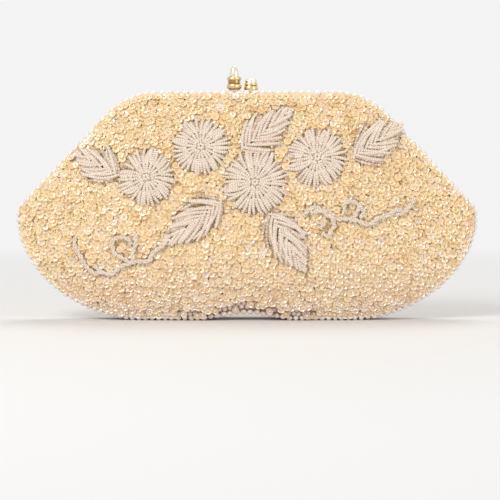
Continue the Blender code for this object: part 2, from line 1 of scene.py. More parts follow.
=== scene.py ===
"""The looks of the beaded clutch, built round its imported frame.

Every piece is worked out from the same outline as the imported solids, so that it lies where they do.
Sizes are in metres, the front faces -Y and Z is up.
"""

import bisect
import math
import random
from functools import partial

import bmesh
import bpy
from bpy.props import FloatProperty, FloatVectorProperty, PointerProperty
from bpy.types import Operator, Panel, PropertyGroup
from mathutils import Matrix, Vector, noise


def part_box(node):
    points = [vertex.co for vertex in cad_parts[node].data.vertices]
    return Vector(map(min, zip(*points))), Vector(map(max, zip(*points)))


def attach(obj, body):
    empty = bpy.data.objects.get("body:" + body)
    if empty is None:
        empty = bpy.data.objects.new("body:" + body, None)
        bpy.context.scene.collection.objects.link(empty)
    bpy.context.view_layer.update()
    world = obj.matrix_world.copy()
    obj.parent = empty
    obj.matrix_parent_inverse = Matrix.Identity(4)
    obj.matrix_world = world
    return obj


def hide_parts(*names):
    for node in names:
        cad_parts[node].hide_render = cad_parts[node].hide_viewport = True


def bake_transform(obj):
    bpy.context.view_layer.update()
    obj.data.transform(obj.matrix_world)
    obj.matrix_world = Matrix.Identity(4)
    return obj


bl_info = {
    "name": "Beaded Clutch",
    "version": (1, 0, 0),
    "blender": (4, 5, 0),
    "location": "3D View > Sidebar > Clutch",
    "description": "Sequins, beads, lining, clasp and stage of a beaded evening clutch",
    "category": "Add Mesh",
}

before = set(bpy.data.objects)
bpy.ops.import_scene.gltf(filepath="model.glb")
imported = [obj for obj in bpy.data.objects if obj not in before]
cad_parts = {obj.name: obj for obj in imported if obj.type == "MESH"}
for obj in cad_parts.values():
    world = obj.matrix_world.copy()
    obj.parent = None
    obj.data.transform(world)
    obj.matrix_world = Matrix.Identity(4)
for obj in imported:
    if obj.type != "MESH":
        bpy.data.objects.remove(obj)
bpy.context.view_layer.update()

SIDES = (("front", -1), ("back", 1))

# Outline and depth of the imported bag
HALF_WIDTH = 0.120
BAG_HEIGHT = 0.119
TOP_STRAIGHT_HALF = 0.0461
SHOULDER_RADIUS = 0.038
SLOPE_END_HEIGHT = 0.0582
HINGE_HEIGHT = 0.056
BOTTOM_HALF = 0.050
SIDE_SPAN = HALF_WIDTH - BOTTOM_HALF
ARCH_HALF = 0.030
ARCH_RISE = 0.0038
TIP_ROUNDING = 0.006
BASE_HALF_DEPTH = 0.008
SEAM_HALF_DEPTH = 0.0032
EDGE_HALF_DEPTH = 0.0055
BULGE_DEPTH = 0.0089
BULGE_POWER = 2.2
SWELL_PEAK = math.sqrt(1 / 3) * 2 / 3
PULL_DEPTH = 0.00055

CENTRE_TO_TIP = Vector((HALF_WIDTH - TOP_STRAIGHT_HALF, SLOPE_END_HEIGHT - BAG_HEIGHT + SHOULDER_RADIUS))
SLOPE = math.atan2(*CENTRE_TO_TIP) - math.acos(SHOULDER_RADIUS / CENTRE_TO_TIP.length)
SHOULDER_LENGTH = SHOULDER_RADIUS * SLOPE
MIDDLE_Y = sum(corner.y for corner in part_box("beaded_pouch")) / 2

# Where the beaded surface ends at the tips, and how far under the slope its contour stops
SKIN_END = 0.1193
TIP_DROP = 0.0015

# Where the cloth passes from the still pouch to a frame half that swings
FOLD_START = 0.046
FOLD_END = 0.072

# How far each layer's two faces lie below the beaded surface
CLOTH_FACES = (0.00115, 0.0020)
INTERLINING_FACES = (0.0023, 0.0031)
LINING_FACES = (0.0034, 0.0040)
LINING_END = 0.106
LINING_END_ROUNDING = 0.010
NEAREST_MIDDLE = 0.00015

# Rows of the inner layers below and above the hinge height, where they are drawn in, and their creases
INNER_ROWS = (30, 26)
DRAWN_FROM = 0.0150
DRAWN_OVER = 0.0060
CREASE_DEPTH = 0.0009

# Channel of the frame: its foot from the edge of the bag inwards, its faces from the middle plane outwards
CHANNEL_FOOT = 0.0080
CHANNEL_OUTSIDE = 0.0029
CHANNEL_INSIDE = 0.0015

# Strand work on the front, given as shares of the half width and of the height.
# A flower has its middle and radius, a leaf its root, tip and half width, a vine its chains of places.
FLOWER_SHARES = {
    "flower_left": (-0.430, 0.621, 0.123),
    "flower_top": (-0.197, 0.755, 0.121),
    "flower_centre": (0.035, 0.600, 0.143),
    "flower_right": (0.300, 0.708, 0.128),
}
LEAF_SHARES = {
    "leaf_far_left": (-0.553, 0.630, -0.748, 0.734, 0.098),
    "leaf_top": (-0.016, 0.745, 0.202, 0.924, 0.090),
    "leaf_right": (0.458, 0.711, 0.676, 0.858, 0.103),
    "leaf_lower_left": (-0.108, 0.518, -0.372, 0.326, 0.094),
    "leaf_lower_right": (0.103, 0.466, 0.255, 0.206, 0.102),
}
VINE_SHARES = {
    "vine_left": (
        ((-0.340, 0.343), (-0.405, 0.294), (-0.417, 0.263), (-0.470, 0.259), (-0.496, 0.252), (-0.539, 0.238),
         (-0.583, 0.203), (-0.622, 0.212), (-0.654, 0.207), (-0.691, 0.238), (-0.711, 0.275), (-0.730, 0.305),
         (-0.741, 0.338), (-0.735, 0.369)),
        ((-0.496, 0.250), (-0.539, 0.278), (-0.568, 0.296), (-0.575, 0.329), (-0.573, 0.352), (-0.532, 0.365),
         (-0.504, 0.351), (-0.494, 0.330)),
        ((-0.489, 0.252), (-0.487, 0.299), (-0.476, 0.336), (-0.478, 0.358), (-0.466, 0.373)),
        ((-0.630, 0.216), (-0.658, 0.243)),
    ),
    "vine_right": (
        ((0.224, 0.362), (0.252, 0.388)),
        ((0.241, 0.453), (0.265, 0.482), (0.291, 0.493), (0.317, 0.482), (0.342, 0.460), (0.370, 0.443)),
        ((0.270, 0.468), (0.300, 0.475), (0.352, 0.474), (0.368, 0.442), (0.371, 0.414)),
        ((0.370, 0.442), (0.411, 0.442), (0.454, 0.446), (0.472, 0.475), (0.487, 0.497)),
        ((0.417, 0.471), (0.417, 0.504), (0.439, 0.518), (0.468, 0.511), (0.494, 0.489), (0.500, 0.467),
         (0.482, 0.446)),
        ((0.436, 0.435), (0.475, 0.435), (0.500, 0.421), (0.533, 0.424), (0.561, 0.446), (0.595, 0.453),
         (0.626, 0.475), (0.665, 0.482)),
        ((0.638, 0.457), (0.674, 0.471), (0.703, 0.500), (0.724, 0.533)),
        ((0.309, 0.399), (0.342, 0.438)),
        ((0.320, 0.384), (0.346, 0.369), (0.360, 0.395), (0.382, 0.421)),
    ),
}


# Outline of the bag


def clamp(value):
    return min(max(value, 0), 1)


def edge_at(distance, inset):
    """Place and lean of the top edge, at a distance along it from the middle, moved in by inset."""
    side = math.copysign(1, distance)
    along = abs(distance)
    lean = min(max(along - TOP_STRAIGHT_HALF, 0) / SHOULDER_RADIUS, SLOPE)
    reach = SHOULDER_RADIUS - inset
    x = min(along, TOP_STRAIGHT_HALF) + reach * math.sin(lean)
    z = BAG_HEIGHT - SHOULDER_RADIUS + reach * math.cos(lean)
    beyond = max(along - TOP_STRAIGHT_HALF - SHOULDER_LENGTH, 0)
    return side * (x + beyond * math.cos(SLOPE)), z - beyond * math.sin(SLOPE), side * lean


def top_edge(x, inset=0.0):
    """Height of the top edge above a place across the bag."""
    across = abs(x)
    reach = SHOULDER_RADIUS - inset
    centre = BAG_HEIGHT - SHOULDER_RADIUS
    if across <= TOP_STRAIGHT_HALF:
        return centre + reach
    if across <= TOP_STRAIGHT_HALF + reach * math.sin(SLOPE):
        return centre + math.sqrt(reach**2 - (across - TOP_STRAIGHT_HALF) ** 2)
    past = across - TOP_STRAIGHT_HALF - reach * math.sin(SLOPE)
    return centre + reach * math.cos(SLOPE) - past * math.tan(SLOPE)


def edge_lean(x):
    """Slope of the top edge above a place across the bag."""
    past = abs(x) - TOP_STRAIGHT_HALF
    if past <= 0:
        return 0.0
    return math.asin(min(past / SHOULDER_RADIUS, math.sin(SLOPE)))


def under_edge(x, z):
    """How far a place on the face lies below the top edge, measured square to it."""
    return (top_edge(x) - z) * math.cos(edge_lean(x))


def edge_end(room, inset):
    """Distance along the top edge, moved in by inset, to where it leaves so much room to the tip."""
    end = TOP_STRAIGHT_HALF + SHOULDER_LENGTH
    return end + (HALF_WIDTH - room - edge_at(end, inset)[0]) / math.cos(SLOPE)


def bottom_edge(x):
    """Height of the bottom edge: a low arch, two straight stretches to stand on, and a quarter ellipse."""
    across = abs(x)
    if across < ARCH_HALF:
        return ARCH_RISE * (1 + math.cos(math.pi * across / ARCH_HALF)) / 2
    if across <= BOTTOM_HALF:
        return 0.0
    share = min((across - BOTTOM_HALF) / SIDE_SPAN, 1)
    return HINGE_HEIGHT * (1 - math.sqrt(1 - share**2))


def half_depth(x, z):
    """Half depth of the bag at the beaded surface, with the soft pulls of sewn cloth."""
    across = min(abs(x) / HALF_WIDTH, 1)
    low = bottom_edge(x)
    up = clamp((z - low) / (top_edge(x) - low))
    base = SEAM_HALF_DEPTH + (BASE_HALF_DEPTH - SEAM_HALF_DEPTH) * (1 - across**2)
    swell = math.sqrt(up) * (1 - up) / SWELL_PEAK
    plain = base + (EDGE_HALF_DEPTH - base) * up + BULGE_DEPTH * (1 - across**BULGE_POWER) * swell
    into_tip = max(abs(x) - (HALF_WIDTH - TIP_ROUNDING), 0) / TIP_ROUNDING
    return plain * math.sqrt(max(1 - into_tip**2, 0)) - pull(x, z, up)


def pull(x, z, up):
    """How far the sewn cloth is drawn in: slack waves that fade out towards the edges."""
    wave = noise.noise(Vector((x * 70 + z * 40, z * 46 - x * 18, 0.4)))
    fine = noise.noise(Vector((x * 160, z * 90, 2.1)))
    return PULL_DEPTH * max(wave + 0.4 * fine, 0) * math.sin(math.pi * up) ** 0.7


def bottom_places(spacing, tips=False):
    """Even places along the bottom edge from end to end, or on up the tips, each with the way of the edge."""
    flat_steps, side_steps = 60, 80
    turn_end = math.asin((SKIN_END - BOTTOM_HALF) / SIDE_SPAN)
    flat = [BOTTOM_HALF * step / flat_steps for step in range(flat_steps + 1)]
    right = [Vector((x, bottom_edge(x))) for x in flat]
    for step in range(1, side_steps + 1):
        turn = turn_end * step / side_steps
        right.append(Vector((BOTTOM_HALF + SIDE_SPAN * math.sin(turn), HINGE_HEIGHT * (1 - math.cos(turn)))))
    if tips:
        right.append(Vector((SKIN_END, SLOPE_END_HEIGHT - TIP_DROP)))
    line = [Vector((-spot.x, spot.y)) for spot in reversed(right[1:])] + right
    return even_places(line, spacing)


def even_places(line, spacing):
    """Places at even distances along a chain of points, each with the way that the chain runs there."""
    distances = [0.0]
    for start, end in zip(line, line[1:]):
        distances.append(distances[-1] + (end - start).length)
    count = max(round(distances[-1] / spacing), 1)
    found = []
    for step in range(count):
        at = (step + 0.5) / count * distances[-1]
        leg = min(bisect.bisect_right(distances, at), len(line) - 1) - 1
        share = (at - distances[leg]) / (distances[leg + 1] - distances[leg])
        found.append((line[leg].lerp(line[leg + 1], share), (line[leg + 1] - line[leg]).normalized()))
    return found


class Section:
    """One upright cut of the beaded surface, from the seam under the bottom up to the top edge.

    Its points crowd together near the bottom, where the surface turns most.
    """

    BASE_STEPS = 6
    FACE_STEPS = 90
    CROWDING = 1.7

    def __init__(self, x):
        low, high = bottom_edge(x), top_edge(x)
        self.base = half_depth(x, low)
        self.points = [(self.base * step / self.BASE_STEPS, low) for step in range(self.BASE_STEPS)]
        for step in range(self.FACE_STEPS + 1):
            z = low + (high - low) * (step / self.FACE_STEPS) ** self.CROWDING
            self.points.append((half_depth(x, z), z))
        distances = [0.0]
        for start, end in zip(self.points, self.points[1:]):
            distances.append(distances[-1] + math.dist(start, end))
        heights = [z for _, z in self.points[self.BASE_STEPS:]]
        leg = bisect.bisect_right(heights, HINGE_HEIGHT) + self.BASE_STEPS - 1
        rise = self.points[leg + 1][1] - self.points[leg][1]
        share = (HINGE_HEIGHT - self.points[leg][1]) / rise
        hinge = distances[leg] + share * (distances[leg + 1] - distances[leg])
        self.distances = [distance - hinge for distance in distances]

    def at(self, distance):
        """Half depth and height at a distance round, measured upwards from the hinge height."""
        distance = min(max(distance, self.distances[0]), self.distances[-1])
        leg = min(bisect.bisect_right(self.distances, distance), len(self.distances) - 1) - 1
        start, end = self.points[leg], self.points[leg + 1]
        share = (distance - self.distances[leg]) / max(self.distances[leg + 1] - self.distances[leg], 1e-9)
        return start[0] + share * (end[0] - start[0]), start[1] + share * (end[1] - start[1])


class Skin:
    """The beaded surface of one side, laid flat by place across and distance round."""

    COLUMNS = 240
    NEAR = 0.0007
    sections = []

    def __init__(self, side):
        self.side = side
        if not Skin.sections:
            Skin.sections = [Section(SKIN_END * (2 * i / self.COLUMNS - 1)) for i in range(self.COLUMNS + 1)]

    def between(self, x):
        """The two sections beside a place across, and its share of the way between them."""
        place = min(max((x / SKIN_END + 1) / 2 * self.COLUMNS, 0), self.COLUMNS - 1e-6)
        return self.sections[int(place)], self.sections[int(place) + 1], place - int(place)

    def reach(self, x):
        """Distance round at the bottom seam, where the face starts, and at the top edge."""
        first, second, share = self.between(x)
        seam = first.distances[0] + share * (second.distances[0] - first.distances[0])
        base = first.base + share * (second.base - first.base)
        return seam, seam + base, first.distances[-1] + share * (second.distances[-1] - first.distances[-1])

    def spot(self, x, distance):
        """Point of the surface."""
        first, second, share = self.between(x)
        (half, z), (next_half, next_z) = first.at(distance), second.at(distance)
        half += share * (next_half - half)
        return Vector((x, MIDDLE_Y + self.side * half, z + share * (next_z - z)))

    def at(self, x, distance):
        """Point, way across and way out of the surface."""
        near = self.NEAR
        across = self.spot(x + near, distance) - self.spot(x - near, distance)
        up = self.spot(x, distance + near) - self.spot(x, distance - near)
        out = across.cross(up) * -self.side
        return self.spot(x, distance), across.normalized(), out.normalized()

    def under(self, x, distance, below):
        """A point below the surface, never past the middle plane."""
        point, _, out = self.at(x, distance)
        point = point - out * below
        half = max((point.y - MIDDLE_Y) * self.side, NEAREST_MIDDLE)
        return Vector((point.x, MIDDLE_Y + self.side * half, point.z))

    def face(self, x, z, height):
        """A point that stands off the face at a place across and up, with the way out."""
        near = self.NEAR
        lean_x = (half_depth(x + near, z) - half_depth(x - near, z)) / (2 * near)
        lean_z = (half_depth(x, z + near) - half_depth(x, z - near)) / (2 * near)
        out = Vector((-lean_x, self.side, -lean_z)).normalized()
        return Vector((x, MIDDLE_Y + self.side * half_depth(x, z), z)) + out * height, out


# Making and placing


def settings():
    """The sizes and colours that the panel shows."""
    return bpy.context.scene.clutch


def put(bm, name, material, sharp=None):
    """Turns a bmesh into a named piece with its material."""
    mesh = bpy.data.meshes.new(name)
    bm.to_mesh(mesh)
    bm.free()
    mesh.shade_smooth()
    if sharp is not None:
        mesh.set_sharp_from_angle(angle=math.radians(sharp))
    mesh.materials.append(material)
    piece = bpy.data.objects.new(name, mesh)
    bpy.context.scene.collection.objects.link(piece)
    return piece


def hang(piece, slot, side, *nodes):
    """Hides the solids that a piece stands for, and hangs it on the pouch or on its frame half where it lies
    wholly below or above the fold; a piece across the fold stays fixed where it is. The slot is not used.
    """
    if nodes:
        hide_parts(*nodes)
    heights = [vert.co.z for vert in piece.data.vertices]
    half = "front_frame" if side < 0 else "back_frame"
    if max(heights) <= FOLD_START:
        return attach(piece, "pouch")
    if min(heights) >= FOLD_END:
        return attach(piece, half)
    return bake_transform(piece)


def outward(bm):
    """Turns every face of closed shapes outwards."""
    bmesh.ops.recalc_face_normals(bm, faces=bm.faces)
    if bm.calc_volume(signed=True) < 0:
        bmesh.ops.reverse_faces(bm, faces=bm.faces)
    return bm


def turned(profile, steps):
    """A closed shape turned about Z from a profile of radius and height."""
    bm = bmesh.new()
    chain = [bm.verts.new((radius, 0, height)) for radius, height in profile]
    lines = [bm.edges.new(pair) for pair in zip(chain, chain[1:])]
    bmesh.ops.spin(
        bm, geom=chain + lines, cent=(0, 0, 0), axis=(0, 0, 1), angle=math.tau, steps=steps, use_merge=True
    )
    bmesh.ops.remove_doubles(bm, verts=bm.verts, dist=1e-7)
    return outward(bm)


class Stamp:
    """A small closed shape that is pressed many times into one mesh, each copy with a tint."""

    def __init__(self, bm, rim=False):
        self.mesh = bpy.data.meshes.new("stamp")
        bm.to_mesh(self.mesh)
        bm.free()
        self.count = len(self.mesh.vertices)
        self.rest = [0.0] * (3 * self.count)
        self.mesh.vertices.foreach_get("co", self.rest)
        self.mesh.attributes.new("tint", "FLOAT", "POINT")
        if rim:
            reach = [math.hypot(*self.rest[place:place + 2]) for place in range(0, 3 * self.count, 3)]
            self.mesh.attributes.new("rim", "FLOAT", "POINT").data.foreach_set("value", reach)

    def press(self, bm, matrix, tint):
        """Adds a copy to a bmesh, from the shape at rest each time."""
        self.mesh.vertices.foreach_set("co", self.rest)
        self.mesh.transform(matrix)
        self.mesh.attributes["tint"].data.foreach_set("value", [tint] * self.count)
        bm.from_mesh(self.mesh)

    def clear(self):
        bpy.data.meshes.remove(self.mesh)


def jitter(rng, size):
    """A small random vector."""
    return Vector((rng.uniform(-1, 1), rng.uniform(-1, 1), rng.uniform(-1, 1))) * size


def seat(point, across, out, size):
    """Matrix that sets a shape on a surface: its Z along out, its X along across."""
    out = out.normalized()
    across = (across - out * across.dot(out)).normalized()
    basis = Matrix((across, out.cross(across), out)).transposed().to_4x4()
    return Matrix.Translation(point) @ basis @ Matrix.Diagonal((*size, 1))


class Crowd:
    """Places seen from the front, to ask how near the nearest one is."""

    CELL = 0.004

    def __init__(self):
        self.cells = {}

    def add(self, x, z):
        self.cells.setdefault((int(x // self.CELL), int(z // self.CELL)), []).append((x, z))

    def nearest(self, x, z):
        """Distance to the nearest place, or the cell size where none is that near."""
        column, row = int(x // self.CELL), int(z // self.CELL)
        around = ((column + i, row + j) for i in (-1, 0, 1) for j in (-1, 0, 1))
        near = (place for cell in around for place in self.cells.get(cell, ()))
        return min((math.dist((x, z), place) for place in near), default=self.CELL)


def cup_shape():
    """A cupped sequin of unit radius with a hole, turned in twelve facets."""
    bm = bmesh.new()
    section = [bm.verts.new(spot) for spot in ((0.18, 0, 0), (0.66, 0, 0.05), (1, 0, 0.27), (0.78, 0, 0.02))]
    lines = [bm.edges.new((section[i], section[(i + 1) % 4])) for i in range(4)]
    bmesh.ops.spin(
        bm, geom=section + lines, cent=(0, 0, 0), axis=(0, 0, 1), angle=math.tau, steps=12, use_merge=True
    )
    bmesh.ops.remove_doubles(bm, verts=bm.verts, dist=1e-6)
    return outward(bm)


def bead_shape():
    """A short rounded barrel of unit radius and length, strung along Z."""
    return turned(((0, -0.5), (0.62, -0.5), (0.95, -0.27), (0.95, 0.27), (0.62, 0.5), (0, 0.5)), 8)


def pearl_shape(steps, rows):
    """A round bead of unit radius."""
    turns = [math.pi * row / rows for row in range(1, rows)]
    between = [(math.sin(turn), -math.cos(turn)) for turn in turns]
    return turned([(0, -1), *between, (0, 1)], steps)


def string_beads(bm, stamp, route, radius, pitch, rng, tint=0.6, taper=0.0):
    """Beads threaded along a route of points, a little out of true, smaller towards its ends by the taper."""
    places = even_places(route, pitch)
    for number, (point, way) in enumerate(places):
        from_middle = abs(2 * (number + 0.5) / len(places) - 1)
        size = radius * rng.uniform(0.94, 1.05) * (1 - taper * from_middle**4)
        sideways = Vector((0, 1, 0)) if abs(way.y) < 0.9 else Vector((1, 0, 0))
        matrix = seat(point, sideways, way + jitter(rng, 0.10), (size, size, pitch * 1.04))
        stamp.press(bm, matrix, clamp(tint + rng.gauss(0, 0.16)))


def grid(bm, columns, rows, place):
    """A sheet whose points are put in place by column and row number."""
    made = bmesh.ops.create_grid(bm, x_segments=columns, y_segments=rows, size=0.5)["verts"]
    for vert in made:
        vert.co = place(round((vert.co.x + 0.5) * columns), round((vert.co.y + 0.5) * rows))


def shell(columns, rows, place):
    """A thin closed layer: two sheets, given by face 0 and 1, joined along their edges."""
    bm = bmesh.new()
    for face in (0, 1):
        grid(bm, columns, rows, lambda column, row, face=face: place(column, row, face))
    bmesh.ops.bridge_loops(bm, edges=[edge for edge in bm.edges if edge.is_boundary])
    return outward(bm)


# Finishes


def darker(colour, share):
    """A colour with only a share of its light."""
    return [part * share for part in colour]


class Finish:
    """A material under construction, with short ways to add nodes."""

    def __init__(self, name, colour, roughness, metallic=0.0, **constants):
        self.material = bpy.data.materials.new(name)
        self.material.use_nodes = True
        self.tree = self.material.node_tree
        self.shader = self.tree.nodes["Principled BSDF"]
        self.set("Base Color", (*colour, 1))
        self.set("Roughness", roughness)
        self.set("Metallic", metallic)
        for socket, value in constants.items():
            self.set(socket.replace("_", " ").title().replace("Ior", "IOR"), value)
        self.place = self.add("ShaderNodeTexCoord").outputs["Object"]

    def set(self, socket, value):
        """Gives one of the shader's sockets a plain value."""
        self.shader.inputs[socket].default_value = value

    def add(self, kind, inputs=None, **options):
        """A new node, its sockets linked to other sockets or set to plain values."""
        node = self.tree.nodes.new(kind)
        for option, value in options.items():
            setattr(node, option, value)
        for socket, value in (inputs or {}).items():
            if isinstance(value, bpy.types.NodeSocket):
                self.tree.links.new(value, node.inputs[socket])
            else:
                node.inputs[socket].default_value = value
        return node

    def link(self, value, socket):
        """Feeds one of the shader's sockets from another node."""
        self.tree.links.new(value, self.shader.inputs[socket])

    def maths(self, operation, *values):
        """What a Math node makes of the values."""
        return self.add("ShaderNodeMath", dict(enumerate(values)), operation=operation).outputs[0]

    def clouds(self, scale, detail=3.0, roughness=0.55):
        """Soft noise from 0 to 1 over the piece."""
        return self.add(
            "ShaderNodeTexNoise",
            {"Vector": self.place, "Scale": scale, "Detail": detail, "Roughness": roughness},
        ).outputs["Fac"]

    def attribute(self, name):
        """A value that the points of the mesh carry."""
        return self.add("ShaderNodeAttribute", attribute_name=name).outputs["Fac"]

    def height(self):
        """How high a place on the piece lies, in metres."""
        return self.add("ShaderNodeSeparateXYZ", {"Vector": self.place}).outputs["Z"]

    def facing(self, blend):
        """0 where the surface faces the eye and 1 where it turns away."""
        return self.add("ShaderNodeLayerWeight", {"Blend": blend}).outputs["Facing"]

    def ramp(self, value, stops):
        """A colour picked along a row of stops, each a place from 0 to 1 and its colour."""
        node = self.add("ShaderNodeValToRGB", {"Fac": value})
        elements = node.color_ramp.elements
        while len(elements) < len(stops):
            elements.new(0.5)
        for element, (position, colour) in zip(elements, stops):
            element.position = position
            element.color = (*colour, 1)
        return node.outputs["Color"]

    def mix(self, share, first, second):
        """The first colour with a share of the second one over it."""
        node = self.add("ShaderNodeMix", data_type="RGBA", blend_type="MIX")
        for index, value in ((0, share), (6, first), (7, second)):
            if isinstance(value, bpy.types.NodeSocket):
                self.tree.links.new(value, node.inputs[index])
            else:
                node.inputs[index].default_value = value if index == 0 else (*value, 1)
        return node.outputs[2]

    def range(self, value, from_min, from_max, to_min, to_max):
        """A value carried over from one range to another."""
        return self.add(
            "ShaderNodeMapRange",
            {"Value": value, "From Min": from_min, "From Max": from_max, "To Min": to_min, "To Max": to_max},
        ).outputs["Result"]

    def mottled(self, first, second, scale, detail, low, high, most):
        """The first colour with soft patches of the second one, which cover at most a share of it."""
        return self.mix(self.range(self.clouds(scale, detail), low, high, 0, most), first, second)

    def uneven_shine(self, scale, detail, smoothest, roughest, low=0.3, high=0.7):
        """Roughness that wanders between two values."""
        self.link(self.range(self.clouds(scale, detail), low, high, smoothest, roughest), "Roughness")

    def bump(self, height, distance):
        """Raises the surface by a height from 0 to 1; a second call adds to the first."""
        inputs = {"Height": height, "Distance": distance}
        if self.shader.inputs["Normal"].is_linked:
            inputs["Normal"] = self.shader.inputs["Normal"].links[0].from_socket
        self.link(self.add("ShaderNodeBump", inputs).outputs["Normal"], "Normal")

    def weave(self, threads):
        """Crossed threads, as a height from 0 to 1, at so many threads in a metre."""
        split = self.add("ShaderNodeSeparateXYZ", {"Vector": self.place})
        warp, weft = (
            self.maths("SINE", self.maths("MULTIPLY", split.outputs[axis], threads * math.pi))
            for axis in ("X", "Z")
        )
        return self.range(self.maths("MULTIPLY", warp, weft), -1, 1, 0, 1)


def sequin_finish():
    """Iridescent champagne film that turns gold, straw, peach and lilac, with painted glints on a few
    sequins, painted shade in the hollow of each cup, a painted highlight that makes the rims paler, and
    painted shade towards the bottom.
    """
    colours = settings().sequins
    finish = Finish(
        "iridescent_sequin", colours.champagne, 0.24, coat_weight=1.0, coat_roughness=0.05,
        specular_ior_level=1.0,
    )
    # The palest stop paints white glints on a few sequins.
    own = finish.ramp(finish.attribute("tint"), (
        (0.0, colours.champagne), (0.22, colours.gold), (0.42, colours.champagne), (0.60, colours.straw),
        (0.74, colours.peach), (0.86, colours.champagne), (0.95, colours.lilac), (0.99, colours.highlight_white),
    ))
    warm = finish.mottled(own, colours.gold, scale=38, detail=2, low=0.4, high=0.62, most=0.45)
    film = finish.mix(finish.range(finish.facing(0.4), 0.15, 0.7, 0, 0.25), warm, colours.peach)
    rim = finish.attribute("rim")
    # Painted shade in the hollow of each cup, from the hole out to the middle of its floor.
    deep_gold_and_shade = finish.mix(finish.range(rim, 0.18, 0.60, 0.30, 0.0), film, colours.deep_gold_and_shade)
    # Painted highlight: the rims turn paler, towards white.
    rim_highlight = finish.mix(finish.range(rim, 0.70, 1.0, 0, 0.30), deep_gold_and_shade, colours.highlight_white)
    # Painted shade: darker and rosier towards the bottom, where the face curves under.
    low_down = finish.range(finish.height(), 0.002, 0.036, 0.60, 0.0)
    finish.link(finish.mix(low_down, rim_highlight, colours.bottom_shade), "Base Color")
    finish.uneven_shine(scale=900, detail=1, smoothest=0.12, roughest=0.32, low=0.35, high=0.65)
    finish.bump(finish.clouds(1500, 1), 0.00004)
    return finish.material


def glass_finish():
    """Small gold-lined glass beads that hold the sequins down, some of them pearl white."""
    colours = settings().sequins
    finish = Finish("sequin_bead", colours.deep_gold_and_shade, 0.16, coat_weight=0.4, coat_roughness=0.08)
    own = finish.ramp(finish.attribute("tint"), (
        (0.0, colours.deep_gold_and_shade), (0.55, colours.gold), (0.88, colours.champagne), (1.0, settings().beads.pearl),
    ))
    finish.link(own, "Base Color")
    finish.uneven_shine(scale=2000, detail=1, smoothest=0.12, roughest=0.30)
    return finish.material


def pearl_finish():
    """Lustrous pearls, from milk white to rose and tan, with painted shade on their rims where they turn
    away.
    """
    colours = settings().beads
    finish = Finish("seed_pearl", colours.pearl, 0.18, coat_weight=1.0, coat_roughness=0.05, coat_ior=1.9)
    own = finish.ramp(finish.attribute("tint"), (
        (0.0, colours.pearl), (0.3, colours.blush), (0.7, colours.rose), (1.0, colours.honey),
    ))
    cloudy = finish.mottled(own, colours.pearl, scale=420, detail=2, low=0.3, high=0.7, most=0.25)
    # Painted shade: the rims turn rose where the pearls face away.
    painted_rim_shade = finish.range(finish.facing(0.5), 0.3, 0.95, 0, 0.35)
    finish.link(finish.mix(painted_rim_shade, cloudy, colours.rose), "Base Color")
    finish.uneven_shine(scale=1200, detail=2, smoothest=0.12, roughest=0.28)
    return finish.material


def strand_finish():
    """Small beige beads with a waxy lustre and dusty sides."""
    colours = settings().beads
    finish = Finish("strand_bead", colours.strand, 0.34, coat_weight=0.25, coat_roughness=0.22)
    own = finish.ramp(finish.attribute("tint"), (
        (0.0, colours.strand_shade), (0.3, colours.strand), (1.0, colours.strand_light),
    ))
    dusty = finish.mottled(own, colours.strand_shade, scale=260, detail=3, low=0.35, high=0.7, most=0.20)
    finish.link(dusty, "Base Color")
    finish.uneven_shine(scale=1400, detail=2, smoothest=0.26, roughest=0.48)
    finish.bump(finish.clouds(2600, 2), 0.00005)
    return finish.material


def ground_finish():
    """Woven ground cloth under the sequins, shaded by the threads that cross it."""
    colours = settings().cloth
    finish = Finish("ground_cloth", colours.ground, 0.8, sheen_weight=0.2, sheen_roughness=0.5)
    weave = finish.weave(1500)
    between_threads = finish.range(weave, 0, 1, 0.35, 0.0)
    shaded = finish.mix(between_threads, colours.ground, darker(colours.ground, 0.65))
    patchy = finish.mottled(
        shaded, darker(colours.ground, 0.8), scale=90, detail=3, low=0.35, high=0.7, most=0.4
    )
    low_down = finish.range(finish.height(), 0.008, 0.014, 0.8, 0.0)
    finish.link(finish.mix(low_down, patchy, colours.shadow), "Base Color")
    finish.bump(weave, 0.00018)
    return finish.material


def satin_finish():
    """Cream lining satin: fine ribs that catch the light, a few faint marks of use."""
    colours = settings().cloth
    finish = Finish(
        "lining_satin", colours.lining, 0.42, sheen_weight=0.35, sheen_roughness=0.35, anisotropic=0.5
    )
    ribs = finish.add(
        "ShaderNodeTexWave", {"Vector": finish.place, "Scale": 900, "Distortion": 0.4, "Detail": 1},
        bands_direction="Z",
    ).outputs["Fac"]
    shaded = finish.mix(finish.range(ribs, 0, 1, 0.22, 0.0), colours.lining, darker(colours.lining, 0.78))
    worn = finish.mottled(shaded, colours.marks, scale=34, detail=4, low=0.48, high=0.75, most=0.30)
    finish.link(worn, "Base Color")
    finish.uneven_shine(scale=130, detail=3, smoothest=0.34, roughest=0.52)
    finish.bump(finish.clouds(75, 2), 0.0011)
    finish.bump(ribs, 0.00010)
    return finish.material


def felt_finish():
    """Pale interlining felt, matted and a little fluffy."""
    colour = settings().cloth.interlining
    finish = Finish("interlining_felt", colour, 0.92, sheen_weight=0.4, sheen_roughness=0.7)
    fibres = finish.clouds(1400, 4, 0.7)
    matted = finish.mix(finish.range(fibres, 0.3, 0.7, 0.35, 0.0), colour, darker(colour, 0.7))
    finish.link(matted, "Base Color")
    finish.bump(fibres, 0.0003)
    return finish.material


def thread_finish():
    """Twisted sewing thread."""
    colours = settings().cloth
    finish = Finish("sewing_thread", colours.lining, 0.6, sheen_weight=0.3)
    twist = finish.clouds(5000, 1)
    twisted = finish.mix(finish.range(twist, 0.3, 0.7, 0.3, 0), colours.lining, colours.thread_shade)
    finish.link(twisted, "Base Color")
    finish.bump(twist, 0.00008)
    return finish.material


